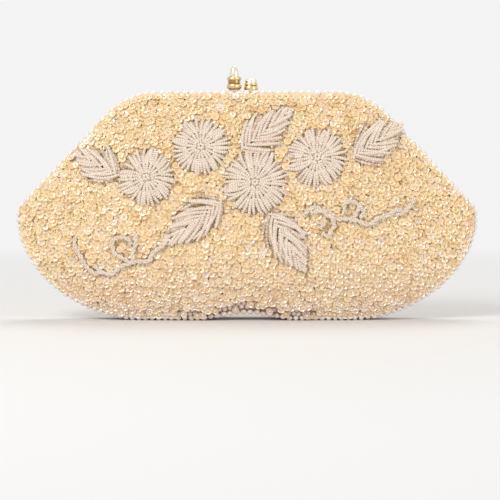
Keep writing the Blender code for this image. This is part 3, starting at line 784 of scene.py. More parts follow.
def gilt_finish(name, worn_by_tint):
    """Gilt with brown spots, on the knobs also browned in the grooves and rubbed pale on the high places."""
    colours = settings().metal
    finish = Finish(name, colours.gilt, 0.16, 1.0)
    worn = colours.gilt
    if worn_by_tint:
        worn = finish.ramp(finish.attribute("tint"), (
            (0.0, colours.gilt_shade), (0.5, colours.gilt), (0.75, colours.gilt), (1.0, colours.rubbed),
        ))
    browned = finish.mottled(worn, colours.gilt_shade, scale=700, detail=3, low=0.45, high=0.70, most=0.28)
    finish.link(browned, "Base Color")
    finish.uneven_shine(scale=1100, detail=3, smoothest=0.10, roughest=0.28)
    finish.bump(finish.clouds(2400, 2), 0.00002)
    return finish.material


def brass_finish():
    """Plain frame brass with drawn lines and a thin brown film."""
    colours = settings().metal
    finish = Finish("frame_brass", colours.brass, 0.34, 1.0)
    drawn = finish.add("ShaderNodeMapping", {"Vector": finish.place, "Scale": (40, 1800, 1800)}).outputs[0]
    lines = finish.add("ShaderNodeTexNoise", {"Vector": drawn, "Scale": 1.0, "Detail": 2.0}).outputs["Fac"]
    film = finish.mottled(
        colours.brass, colours.brass_film, scale=160, detail=4, low=0.42, high=0.7, most=0.65
    )
    finish.link(film, "Base Color")
    finish.link(finish.range(lines, 0.3, 0.7, 0.22, 0.44), "Roughness")
    finish.bump(lines, 0.00003)
    return finish.material


# Settings


def length(name, text, default, low=0.0001, high=0.5):
    return FloatProperty(
        name=name, description=text, default=default, min=low, max=high, subtype="DISTANCE", unit="LENGTH",
        precision=5,
    )


def angle(name, text, degrees):
    return FloatProperty(
        name=name, description=text, default=math.radians(degrees), min=0, max=math.pi, subtype="ANGLE",
        unit="ROTATION",
    )


def power(name, text, default):
    return FloatProperty(name=name, description=text, default=default, min=0, unit="POWER")


def colour(name, text, default):
    return FloatVectorProperty(
        name=name, description=text, default=default, min=0, max=1, size=3, subtype="COLOR"
    )



class SequinSettings(PropertyGroup):
    size: length("Sequin diameter", "Width of one cupped sequin", 0.0040)
    spacing: length("Sequin spacing", "Distance between sequins in a row", 0.00285)
    stray: length("Stray", "How far a sequin may lie from its place in the row", 0.0008)
    bead: length("Sequin bead", "Width of the bead that holds a sequin down", 0.0011)
    pearly_below: length("Pearly below", "Height under which those beads are larger and white", 0.018)
    shingle: angle("Shingle", "How far each sequin leans over the one below", 7)
    scatter: angle("Scatter", "How far a sequin may lean out of true", 16)
    champagne: colour("Champagne", "Main colour of the sequins", (0.97, 0.74, 0.42))
    gold: colour("Gold", "Warmer turn of the film", (0.95, 0.67, 0.33))
    straw: colour("Straw", "Greenish turn of the film", (0.95, 0.82, 0.48))
    peach: colour("Peach", "Pink turn of the film", (0.96, 0.70, 0.50))
    lilac: colour("Lilac", "Cold turn of the film", (0.93, 0.80, 0.74))
    # Painted highlight: the white of the glints on a few sequins and on every rim.
    highlight_white: colour("Flash", "Palest turn of the film", (0.98, 0.91, 0.72))
    # Painted shade in the hollow of each sequin; also the deep gold of the darkest holding beads.
    deep_gold_and_shade: colour("Hollow", "Deeper gold in the middle of a sequin", (0.74, 0.53, 0.27))
    # Painted shade towards the bottom of the face, where it curves under.
    bottom_shade: colour("Dusk", "Duller rose tone near the bottom", (0.78, 0.59, 0.49))


class BeadSettings(PropertyGroup):
    seed_size: length("Seed pearl diameter", "Width of a seed pearl under the bottom", 0.0029)
    seed_band: length("Seed pearl band", "How far seed pearls climb above the arch of the bottom", 0.0076)
    edging_length: length("Edging bead length", "Length of an edging bead along the edge", 0.0043)
    edging_width: length("Edging bead width", "Width of an edging bead", 0.0028)
    edging_spacing: length("Edging spacing", "Distance between edging beads", 0.0040)
    strand_radius: length("Strand radius", "Half the width of a strand", 0.00096)
    strand_pitch: length("Strand pitch", "Distance between beads on a strand", 0.00115)
    strand_spacing: length("Strand spacing", "Distance between strands at a flower's rim", 0.0022)
    vine_radius: length("Vine ply radius", "Half the width of one of a vine's two plies", 0.00078)
    vine_twist: length("Vine twist", "Length of one turn of a vine's two plies", 0.0062)
    pearl: colour("Pearl", "Milk white of the edging pearls", (0.90, 0.82, 0.78))
    blush: colour("Blush", "Pink-beige of the edging pearls", (0.88, 0.74, 0.64))
    # The rose on every pearl's rim is painted shade.
    rose: colour("Rose", "Dusty rose of the seed pearls and of every pearl's rim", (0.80, 0.63, 0.56))
    honey: colour("Honey", "Warm seed pearls", (0.84, 0.65, 0.48))
    strand: colour("Strand", "Main colour of the strand beads", (0.85, 0.715, 0.59))
    strand_shade: colour("Strand shade", "Strand beads of the under layer", (0.60, 0.455, 0.35))
    strand_light: colour("Strand light", "Lighter strand beads", (0.91, 0.82, 0.72))


class ClothSettings(PropertyGroup):
    ground: colour("Ground", "Cloth under the sequins", (0.88, 0.69, 0.42))
    shadow: colour("Ground shadow", "Cloth between the pearls at the bottom", (0.30, 0.20, 0.15))
    lining: colour("Lining", "Lining satin", (0.87, 0.80, 0.68))
    interlining: colour("Interlining", "Felt between cloth and lining", (0.78, 0.75, 0.68))
    marks: colour("Marks", "Faint marks of use on the lining", (0.62, 0.50, 0.36))
    thread_shade: colour("Thread shade", "Shaded side of the sewing thread", (0.45, 0.36, 0.25))
    hem: length("Pocket hem", "Depth of the slip pocket's hem", 0.0045)


class MetalSettings(PropertyGroup):
    gilt: colour("Gilt", "Knobs and arms", (0.80, 0.60, 0.32))
    gilt_shade: colour("Gilt shade", "Browned gilt", (0.34, 0.18, 0.05))
    rubbed: colour("Rubbed gilt", "Gilt rubbed pale on the tips", (0.90, 0.84, 0.66))
    brass: colour("Brass", "Frame channel and rivets", (0.80, 0.60, 0.30))
    brass_film: colour("Brass film", "Brown film on the frame", (0.42, 0.28, 0.14))


class StageSettings(PropertyGroup):
    floor: colour("Floor", "Pale floor", (0.88, 0.875, 0.87))
    backdrop: colour("Backdrop", "What is seen behind the floor", (0.90, 0.90, 0.90))
    key: power("Key light", "Power of the main light", 6.5)
    fill: power("Fill light", "Power of the fill light", 2.3)
    over: power("Top light", "Power of the light from above", 3.0)
    around: FloatProperty(
        name="Room light", description="Strength of the light from all round", default=0.42, min=0
    )
    distance: length("Camera distance", "From the camera to the middle of the bag", 1.036, 0.2, 5)
    height: angle("Camera height", "How far above the bag's own level the camera looks from", 3)
    lens: FloatProperty(
        name="Lens", description="Focal length", default=143.0, min=20, max=200, unit="CAMERA"
    )


class ClutchSettings(PropertyGroup):
    sequins: PointerProperty(type=SequinSettings, name="Sequins", description="Sequins of the field")
    beads: PointerProperty(type=BeadSettings, name="Beads", description="Pearls, edging and strands")
    cloth: PointerProperty(
        type=ClothSettings, name="Cloth", description="Ground cloth, lining and interlining"
    )
    metal: PointerProperty(type=MetalSettings, name="Metal", description="Clasp and frame")
    stage: PointerProperty(type=StageSettings, name="Stage", description="Floor, lights and camera")


# Cloth layers


def cloth_columns():
    """Places across the bag, closer together towards the tips."""
    half = 46
    right = [SKIN_END * math.sin(math.pi / 2 * (step / half) ** 0.92) for step in range(1, half + 1)]
    return [-x for x in reversed(right)] + [0.0] + right


def flat_size(end, below):
    """Width and length, and the area, that a layer was cut to, from the seam to the edge."""
    skin, steps = Skin(-1), 60
    places = [-end + 2 * end * (step + 0.5) / steps for step in range(steps)]
    lengths = [skin.reach(x)[2] - skin.reach(x)[0] - 2 * below for x in places]
    return (2 * end, max(lengths)), sum(lengths) / steps * (2 * end)


class CLUTCH_OT_ground_cloth(Operator):
    """Make the woven ground cloth of the front and the back"""

    bl_idname = "clutch.ground_cloth"
    bl_label = "Ground Cloth"

    # Rows from the seam to the hinge height, from there to the edge, and turned over the edge
    LOWER_ROWS = 36
    UPPER_ROWS = 24
    CROWN_ROWS = 3
    TURN_BELOW_EDGE = 0.0016
    # Room round the channel and rise over the turn, for the outer and the inner face
    CHANNEL_ROOM = (0.0004, 0.0002)
    CROWN_RISE = (0.0006, 0.0002)

    def execute(self, context):
        columns = cloth_columns()
        rows = self.LOWER_ROWS + self.UPPER_ROWS + self.CROWN_ROWS
        material = ground_finish()
        for name, side in SIDES:
            bm = shell(len(columns) - 1, rows, partial(self.place, Skin(side), columns))
            piece = hang(put(bm, name + "_ground_cloth", material), "sequin_cloth", side,
                         "beaded_pouch", name + "_upper_panel")
            flat, area = flat_size(SKIN_END, CLOTH_FACES[0])
        return {"FINISHED"}

    def place(self, skin, columns, column, row, face):
        """Point of one face by column and row number."""
        x = columns[column]
        seam, _, edge = skin.reach(x)
        edge -= self.TURN_BELOW_EDGE
        if row <= self.LOWER_ROWS:
            return skin.under(x, seam * (1 - row / self.LOWER_ROWS), CLOTH_FACES[face])
        if row <= self.LOWER_ROWS + self.UPPER_ROWS:
            return skin.under(x, edge * (row - self.LOWER_ROWS) / self.UPPER_ROWS, CLOTH_FACES[face])
        last = skin.under(x, edge, CLOTH_FACES[face])
        over = math.sin((row - self.LOWER_ROWS - self.UPPER_ROWS) / self.CROWN_ROWS * math.pi / 2)
        half = abs(last.y - MIDDLE_Y)
        inner = min(CHANNEL_OUTSIDE + self.CHANNEL_ROOM[face], half)
        half += (inner - half) * over
        return Vector((last.x, MIDDLE_Y + skin.side * half, last.z + self.CROWN_RISE[face] * over))


def inner_sheet(side, faces, tuck, count):
    """A layer of the inner bag in so many columns, round at its ends, its top tucked towards the channel."""
    skin = Skin(side)
    lower, upper = INNER_ROWS
    columns = [LINING_END * math.sin(math.pi / 2 * (2 * step / count - 1)) for step in range(count + 1)]

    def place(column, row, face):
        x, below = columns[column], faces[face]
        seam, _, edge = skin.reach(x)
        if row <= lower:
            distance = seam * (1 - row / lower)
        else:
            distance = (edge - tuck) * (row - lower) / upper
        point = skin.under(x, distance, below)
        into_end = max(abs(x) - (LINING_END - LINING_END_ROUNDING), 0) / LINING_END_ROUNDING
        closing = math.sqrt(max(1 - into_end**2, 0))
        inset = edge - distance
        half = abs(point.y - MIDDLE_Y)
        drawn = clamp((DRAWN_FROM - inset) / DRAWN_OVER)
        drawn = drawn * drawn * (3 - 2 * drawn)
        at_channel = CHANNEL_INSIDE + (faces[1] - below) / 2
        if tuck < CHANNEL_FOOT:
            half += (at_channel - half) * drawn
        crease = -CREASE_DEPTH * max(noise.noise(Vector((x * 75, distance * 36, 7 + side))), 0)
        half = max((half + crease * (1 - drawn)) * closing, NEAREST_MIDDLE * (2 if face == 0 else 1))
        return Vector((point.x, MIDDLE_Y + side * half, point.z))

    return shell(count, lower + upper, place)


class CLUTCH_OT_lining(Operator):
    """Make the satin lining, tucked into the frame"""

    bl_idname = "clutch.lining"
    bl_label = "Lining"

    TUCK = 0.0045
    COLUMNS = 84

    def execute(self, context):
        material = satin_finish()
        for name, side in SIDES:
            bm = inner_sheet(side, LINING_FACES, self.TUCK, self.COLUMNS)
            piece = hang(put(bm, name + "_lining", material), "lining_satin", side,
                         "pouch_lining", name + "_upper_lining")
            flat, area = flat_size(LINING_END, LINING_FACES[0])
        return {"FINISHED"}


class CLUTCH_OT_interlining(Operator):
    """Make the felt between the cloth and the lining"""

    bl_idname = "clutch.interlining"
    bl_label = "Interlining"

    TUCK = 0.0095
    COLUMNS = 60

    def execute(self, context):
        material = felt_finish()
        for name, side in SIDES:
            bm = inner_sheet(side, INTERLINING_FACES, self.TUCK, self.COLUMNS)
            piece = hang(put(bm, name + "_interlining", material), "interlining", side,
                         "pouch_interlining", name + "_upper_interlining")
            flat, area = flat_size(LINING_END, INTERLINING_FACES[0])
        return {"FINISHED"}


class CLUTCH_OT_slip_pocket(Operator):
    """Make the slip pocket on the back lining, with a rolled hem and stitches"""

    bl_idname = "clutch.slip_pocket"
    bl_label = "Slip Pocket"

    COLUMNS = 48
    ROWS = 30
    SEAT_GAP = 0.0008
    MOUTH_ROOM = 0.0070
    RIPPLE = 0.0004
    THICKNESS = 0.0005
    HEM_THICKNESS = 0.0004
    STITCH_PITCH = 0.0022
    STITCH_SIZE = (0.00022, 0.00022, 0.0016)
    STITCH_LIFT = 0.0007
    HEM_STITCH_LIFT = 0.0010

    def execute(self, context):
        cloth = settings().cloth
        low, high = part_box("slip_pocket")
        width, bottom, top = high.x - low.x, low.z, high.z

        def spot(across, up, lift=0.0):
            """Point of the pocket, from -1 to 1 across and from 0 to 1 up, lifted towards the middle."""
            x, z = across * width / 2, bottom + up * (top - bottom)
            bow = 1 - abs(across) ** 3
            ripple = self.RIPPLE * math.sin(across * 9) * up
            stand = self.SEAT_GAP + (self.MOUTH_ROOM + ripple) * bow * math.sqrt(up)
            return Vector((x, MIDDLE_Y + half_depth(x, z) - LINING_FACES[1] - stand - lift, z))

        def place(column, row, face):
            """Point of one face, thicker in the hem."""
            across, up = 2 * column / self.COLUMNS - 1, row / self.ROWS
            in_hem = clamp((up - 1 + cloth.hem / (top - bottom)) * 12)
            extra = self.HEM_THICKNESS * in_hem if face else 0.0
            return spot(across, up, self.THICKNESS * face + extra)

        piece = put(shell(self.COLUMNS, self.ROWS, place), "slip_pocket_cloth", satin_finish())
        hang(piece, "lining_satin", 1, "slip_pocket")

        hem = 1 - cloth.hem / (top - bottom)
        lines = [[spot(a / 40, hem, self.HEM_STITCH_LIFT) for a in range(-39, 40)]]
        for across in (-0.965, 0.965):
            lines.append([spot(across, up / 30, self.STITCH_LIFT) for up in range(1, 30)])
        lines.append([spot(a / 40, 0.03, self.STITCH_LIFT) for a in range(-38, 39)])
        stitches = hang(put(self.stitched(lines), "slip_pocket_stitches", thread_finish()), "lining_satin", 1)
        return {"FINISHED"}

    def stitched(self, lines):
        """Stitches along chains of points."""
        bm = bmesh.new()
        stamp = Stamp(bead_shape())
        rng = random.Random(5)
        for line in lines:
            for point, way in even_places(line, self.STITCH_PITCH):
                stamp.press(bm, seat(point, Vector((0.1, 1, 0.1)), way, self.STITCH_SIZE), rng.random())
        stamp.clear()
        return bm


# Bead work

# How near a seed pearl has to be for a sequin to lie on it
PEARL_ROOM = 0.0012


def pointing(turn):
    """The way that a turn from the right points, seen from the front."""
    return Vector((math.cos(turn), math.sin(turn)))


def string_layer(bm, stamp, route, rng, under, taper):
    """A strand of the upper or the under layer. Beads of the under layer lie further apart and are painted
    darker, as shade under the upper layer.
    """
    beads = settings().beads
    pitch = beads.strand_pitch * (1 + 0.6 * under)
    string_beads(bm, stamp, route, beads.strand_radius, pitch, rng, 0.6 - 0.5 * under, taper)


class CLUTCH_OT_flowers(Operator):
    """Make the four flowers of radiating bead strands round a rosette"""

    bl_idname = "clutch.flowers"
    bl_label = "Flowers"

    ROUTE_STEPS = 8
    START_SHARES = (0.20, 0.48)
    # Height of a strand over the cloth, its arch, the dip of its end, and the drop of the under layer
    RISE = 0.0010
    ARCH = 0.0006
    DIP = 0.0004
    UNDER_DROP = 0.0009
    # Rings of the rosette: distance from the middle, number of knots, height over the cloth
    ROSETTE = ((0.0034, 9, 0.0009), (0.0017, 6, 0.0009), (0.0029, 6, 0.0017), (0.0010, 3, 0.0021))

    def execute(self, context):
        material = strand_finish()
        stamp = Stamp(bead_shape())
        for number, (name, (across, up, size)) in enumerate(FLOWER_SHARES.items()):
            rng = random.Random(20 + number)
            centre = Vector((across * HALF_WIDTH, up * BAG_HEIGHT))
            bm = bmesh.new()
            self.petals(bm, stamp, rng, centre, size * BAG_HEIGHT, number)
            self.rosette(bm, stamp, rng, centre)
            hang(put(bm, name + "_strands", material), "strand_beads", -1, name)
        stamp.clear()
        return {"FINISHED"}

    def petals(self, bm, stamp, rng, centre, radius, first_turn):
        """Strands from near the middle to the rim, and under them a second layer that fills the gaps."""
        skin = Skin(-1)
        count = 2 * round(math.pi * radius / settings().beads.strand_spacing)
        bundles, sway = rng.uniform(0, math.tau), rng.uniform(0, math.tau)
        for strand in range(2 * count):
            under = strand >= count
            start = radius * (self.START_SHARES[strand % 2] + rng.uniform(-0.05, 0.05))
            end = radius * (rng.uniform(0.90, 1.05) - 0.10 * under)
            turn = math.tau * (strand + under / 2 + rng.uniform(-0.2, 0.2)) / count + first_turn
            bend = 0.11 * math.sin(3 * turn + bundles) + 0.07 * math.sin(8 * turn + sway)
            bend += rng.uniform(-0.06, 0.06)
            route = []
            for step in range(self.ROUTE_STEPS + 1):
                share = step / self.ROUTE_STEPS
                away = start + (end - start) * share
                rise = self.RISE + self.ARCH * math.sin(math.pi * (away / radius) ** 0.8)
                rise -= self.DIP * max(share - 0.8, 0) / 0.2
                rise -= self.UNDER_DROP * under
                spot = centre + pointing(turn + bend * share**2) * away
                route.append(skin.face(spot.x, spot.y, rise)[0])
            string_layer(bm, stamp, route, rng, under, 0.35)

    def rosette(self, bm, stamp, rng, centre):
        """Rings of short knots over the middle."""
        beads = settings().beads
        skin = Skin(-1)
        for away, knots, rise in self.ROSETTE:
            for knot in range(knots):
                turn = math.tau * (knot + rng.uniform(-0.2, 0.2)) / knots
                spot = centre + pointing(turn) * away
                reach = pointing(turn + math.pi / 2 + rng.uniform(-0.5, 0.5)) * beads.strand_pitch
                route = [skin.face(end.x, end.y, rise)[0] for end in (spot - reach, spot, spot + reach)]
                string_beads(bm, stamp, route, beads.strand_radius, beads.strand_pitch, rng, 0.7)


class Leaf:
    """One leaf seen from the front: its root, the way to its tip, and its width on the way."""

    STEP = 0.0006
    MOST_STEPS = 60
    # First and last root of the strands along the leaf, and where a strand starts beside the middle
    STAGGER = 0.0006
    LAST_ROOT_SHARE = 0.93
    PAST_MIDDLE = 0.0008
    UNDER_FROM_MIDDLE = 0.0014
    START_STRAY = 0.0006
    # Height of a strand over the cloth, its arch, the dip of its end, and the drop of the under layer
    RISE = 0.0014
    ARCH = 0.0005
    DIP = 0.0004
    UNDER_DROP = 0.0007

    def __init__(self, root_x, root_z, tip_x, tip_z, half_width):
        self.root = Vector((root_x * HALF_WIDTH, root_z * BAG_HEIGHT))
        tip = Vector((tip_x * HALF_WIDTH, tip_z * BAG_HEIGHT))
        self.length = (tip - self.root).length
        self.ahead = (tip - self.root) / self.length
        self.aside = Vector((-self.ahead.y, self.ahead.x))
        self.half = half_width * BAG_HEIGHT
        self.skin = Skin(-1)

    def outline(self, along):
        """Half width of the leaf at a place along it."""
        share = clamp(0.12 + 0.88 * along / self.length)
        return self.half * math.sin(math.pi * share**0.7)

    def laid(self, along, sideways, height):
        """Point over the cloth at a place along the leaf and beside its middle."""
        spot = self.root + self.ahead * along + self.aside * sideways
        return self.skin.face(spot.x, spot.y, height)[0]

    def route(self, along, sideways, heading, turn, reach, side, under):
        """Chain of points from beside the middle to the rim, more and more along the leaf."""
        points = []
        while (sideways < self.outline(along) * reach and along < self.length * 1.03
               and len(points) < self.MOST_STEPS):
            across = min(max(sideways, 0) / self.half, 1)
            rise = self.RISE + self.ARCH * math.sin(math.pi * across**0.7) - self.DIP * across
            rise -= self.UNDER_DROP * under
            points.append(self.laid(along, side * sideways, rise))
            heading -= turn if heading > 0.12 else 0
            along += self.STEP * math.cos(heading)
            sideways += self.STEP * math.sin(heading)
        return points

    def string(self, bm, stamp, rng, side, under):
        """Strings one side of one layer from the root to the tip."""
        spacing = settings().beads.strand_spacing * (0.79 - 0.30 * under)
        root = -side * self.STAGGER * (1 - 2 * under)
        while root < self.LAST_ROOT_SHARE * self.length:
            share = max(root / self.length, 0)
            heading = math.radians(25 + 31 * (1 - share) ** 3 + rng.uniform(-6, 6))
            reach = rng.uniform(0.84, 1.14) - 0.14 * under
            turn = math.radians(rng.uniform(0.4, 1.9) * (1 - 0.6 * share))
            sideways = -self.PAST_MIDDLE + self.UNDER_FROM_MIDDLE * under
            sideways += rng.uniform(-1, 1) * self.START_STRAY
            points = self.route(root, sideways, heading, turn, reach, side, under)
            if len(points) > 3:
                string_layer(bm, stamp, points, rng, under, 0.4)
            root += spacing / math.sin(max(heading - 0.05, 0.33))


class CLUTCH_OT_leaves(Operator):
    """Make the five leaves: curved strands laid forward from both sides of the middle, their roots plaited"""

    bl_idname = "clutch.leaves"
    bl_label = "Leaves"

    def execute(self, context):
        material = strand_finish()
        stamp = Stamp(bead_shape())
        for number, (name, shares) in enumerate(LEAF_SHARES.items()):
            rng = random.Random(40 + number)
            leaf = Leaf(*shares)
            bm = bmesh.new()
            for side, under in ((-1, 0), (1, 0), (-1, 1), (1, 1)):
                leaf.string(bm, stamp, rng, side, under)
            hang(put(bm, name + "_strands", material), "strand_beads", -1, name)
        stamp.clear()
        return {"FINISHED"}


def smooth_chain(points):
    """Close places along a smooth curve through listed ones, given in shares of the bag."""
    spots = [Vector((across * HALF_WIDTH, up * BAG_HEIGHT)) for across, up in points]
    spots = [2 * spots[0] - spots[1]] + spots + [2 * spots[-1] - spots[-2]]
    fine = []
    for first, start, end, last in zip(spots, spots[1:], spots[2:], spots[3:]):
        for step in range(5):
            t = step / 5
            bend = 2 * start + (end - first) * t
            bend += (2 * first - 5 * start + 4 * end - last) * t**2
            bend += (3 * start - first - 3 * end + last) * t**3
            fine.append(bend / 2)
    return fine + [spots[-2]]


class CLUTCH_OT_vines(Operator):
    """Make the two looping vines of twisted double strands"""

    bl_idname = "clutch.vines"
    bl_label = "Vines"

    STEP = 0.0006
    # Height over the cloth, and how much higher a chain lies than the one it crosses
    RISE = 0.0009
    CROSSING_RISE = 0.0002

    def execute(self, context):
        beads = settings().beads
        material = strand_finish()
        stamp = Stamp(bead_shape())
        for number, (name, chains) in enumerate(VINE_SHARES.items()):
            rng = random.Random(60 + number)
            bm = bmesh.new()
            for order, chain in enumerate(chains):
                line = even_places(smooth_chain(chain), self.STEP)
                height = self.RISE + self.CROSSING_RISE * (order % 3)
                for turn in (0, math.pi):
                    route = self.ply(line, turn, height)
                    string_beads(bm, stamp, route, beads.vine_radius, beads.strand_pitch * 0.85, rng)
            hang(put(bm, name + "_strands", material), "strand_beads", -1, name)
        stamp.clear()
        return {"FINISHED"}

    def ply(self, line, turn, height):
        """Route of one of the two plies that wind round the vine's line."""
        beads = settings().beads
        skin = Skin(-1)
        route = []
        for step, (spot, way) in enumerate(line):
            twist = math.tau * step * self.STEP / beads.vine_twist + turn
            place = spot + Vector((-way.y, way.x)) * math.cos(twist) * beads.vine_radius * 0.8
            rise = height + math.sin(twist) * beads.vine_radius * 0.5
            route.append(skin.face(place.x, place.y, rise)[0])
        return route


class CLUTCH_OT_seed_pearls(Operator):
    """Make the seed pearls under the bottom, round its edge and in the band above it"""

    bl_idname = "clutch.seed_pearls"
    bl_label = "Seed Pearls"

    PITCH_SHARE = 0.93
    UNDER_ROWS = 5
    UNDER_ROW_SHARE = 0.9
    CORNER_ROOM = 0.0012
    # Band over the arch: first row, distance of its rows, stray, height, and how its ends step in
    BAND_START = 0.0030
    BAND_ROW_SHARE = 0.88
    BAND_STRAY = 0.0003
    BAND_RISE = 0.0002
    BAND_PAST_ARCH = 0.005
    BAND_STEP_IN = 0.003
    # Row along the bottom edge: how far it stands over the edge, its stray, and how deep it is sunk
    BORDER_OVER = 0.0006
    BORDER_STRAY = 0.0002
    SUNK_IN_ARCH = 0.0009
    SUNK_BESIDE = 0.0016

    def execute(self, context):
        pitch = settings().beads.seed_size * self.PITCH_SHARE
        material = pearl_finish()
        stamp = Stamp(pearl_shape(8, 5))
        places = bottom_places(pitch)
        for name, side in SIDES:
            rng = random.Random(80 + side)
            skin = Skin(side)
            bm = bmesh.new()
            self.under(bm, stamp, rng, skin, places, pitch)
            self.band(bm, stamp, rng, skin, places, pitch)
            self.border(bm, stamp, rng, skin)
            hang(put(bm, name + "_seed_pearls", material), "sequin_cloth", side, "beaded_pouch")
        stamp.clear()
        return {"FINISHED"}

    def press(self, bm, stamp, rng, point, across, out, tint):
        """Sets one seed pearl, a little out of true."""
        lean = jitter(rng, 0.3)
        radius = settings().beads.seed_size / 2 * rng.uniform(0.93, 1.05)
        stamp.press(bm, seat(point, across, out + lean, (radius, radius, radius * 0.86)), tint)

    def under(self, bm, stamp, rng, skin, places, pitch):
        """Rows under the bottom, from the seam to the corner."""
        for row in range(self.UNDER_ROWS):
            for spot, way in places:
                x = spot.x + way.x * pitch / 2 * (row % 2)
                seam, corner, _ = skin.reach(x)
                distance = seam + (row + 0.5) * pitch * self.UNDER_ROW_SHARE
                if distance > corner - self.CORNER_ROOM or abs(x) > SKIN_END:
                    continue
                point, across, out = skin.at(x, distance)
                sunk = point - out * (settings().beads.seed_size / 2)
                self.press(bm, stamp, rng, sunk, across, out, rng.uniform(0.2, 1))

    def band(self, bm, stamp, rng, skin, places, pitch):
        """Rows that climb the face above the arch of the bottom."""
        beads = settings().beads
        for row in range(math.ceil(beads.seed_band / (pitch * self.BAND_ROW_SHARE))):
            inwards = self.BAND_START + row * pitch * self.BAND_ROW_SHARE
            for spot, way in places:
                x = spot.x + way.x * pitch / 2 * (row % 2) - way.y * inwards
                x += rng.uniform(-1, 1) * self.BAND_STRAY
                z = spot.y + way.y * pitch / 2 * (row % 2) + way.x * inwards
                z += rng.uniform(-1, 1) * self.BAND_STRAY
                if abs(x) > ARCH_HALF + self.BAND_PAST_ARCH - self.BAND_STEP_IN * row:
                    continue
                point, out = skin.face(x, z, self.BAND_RISE - beads.seed_size / 2)
                self.press(bm, stamp, rng, point, Vector((1, 0, 0)), out, rng.uniform(0.4, 1.0))

    def border(self, bm, stamp, rng, skin):
        """One row of larger pearls along the bottom edge and up the tips, rosier at the arch."""
        beads = settings().beads
        radius = beads.edging_width / 2
        for spot, way in bottom_places(beads.edging_spacing * 0.85, tips=True):
            inwards = radius - self.BORDER_OVER + rng.uniform(-1, 1) * self.BORDER_STRAY
            x, z = spot.x - way.y * inwards, max(spot.y + way.x * inwards, radius)
            on_arch = abs(x) < ARCH_HALF
            sunk = self.SUNK_IN_ARCH if on_arch else self.SUNK_BESIDE
            point, out = skin.face(x, max(z, bottom_edge(x)), -sunk)
            size = (beads.edging_length / 2 * rng.uniform(0.74, 0.90), radius, radius)
            tint = rng.uniform(0.3, 0.9) if on_arch else rng.uniform(0, 0.22)
            stamp.press(bm, seat(Vector((x, point.y, z)), Vector((way.x, 0, way.y)), out, size), tint)


class CLUTCH_OT_edging(Operator):
    """Make the two rows of edging pearls along the top edge"""

    bl_idname = "clutch.edging"
    bl_label = "Edging"

    TIP_ROOM = 0.0024
    STRAY = 0.0004
    INSET_STRAY = 0.0003
    SUNK = 0.0013

    def execute(self, context):
        beads = settings().beads
        radius = beads.edging_width / 2
        material = pearl_finish()
        stamp = Stamp(pearl_shape(10, 6))
        end = edge_end(self.TIP_ROOM, 0)
        count = round(2 * end / beads.edging_spacing)
        for name, side in SIDES:
            rng = random.Random(90 + side)
            bm = bmesh.new()
            for number in range(count + 1):
                distance = -end + 2 * end * number / count
                distance += rng.uniform(-1, 1) * self.STRAY * (0 < number < count)
                x, z, lean = edge_at(distance, radius + rng.uniform(0, self.INSET_STRAY))
                half = half_depth(x, top_edge(x)) - self.SUNK
                point = Vector((x, MIDDLE_Y + side * half, z))
                along = Vector((math.cos(lean), 0, -math.sin(lean)))
                out = Vector((math.sin(lean), side * 0.35, math.cos(lean)))
                out += jitter(rng, 0.15)
                size = (beads.edging_length / 2 * rng.uniform(0.88, 1.05), radius * 1.05, radius)
                stamp.press(bm, seat(point, along, out, size), max(rng.gauss(0.10, 0.10), 0))
            hang(put(bm, name + "_edging_pearls", material), "edging_beads", side, name + "_edging_beads")
        stamp.clear()
        return {"FINISHED"}


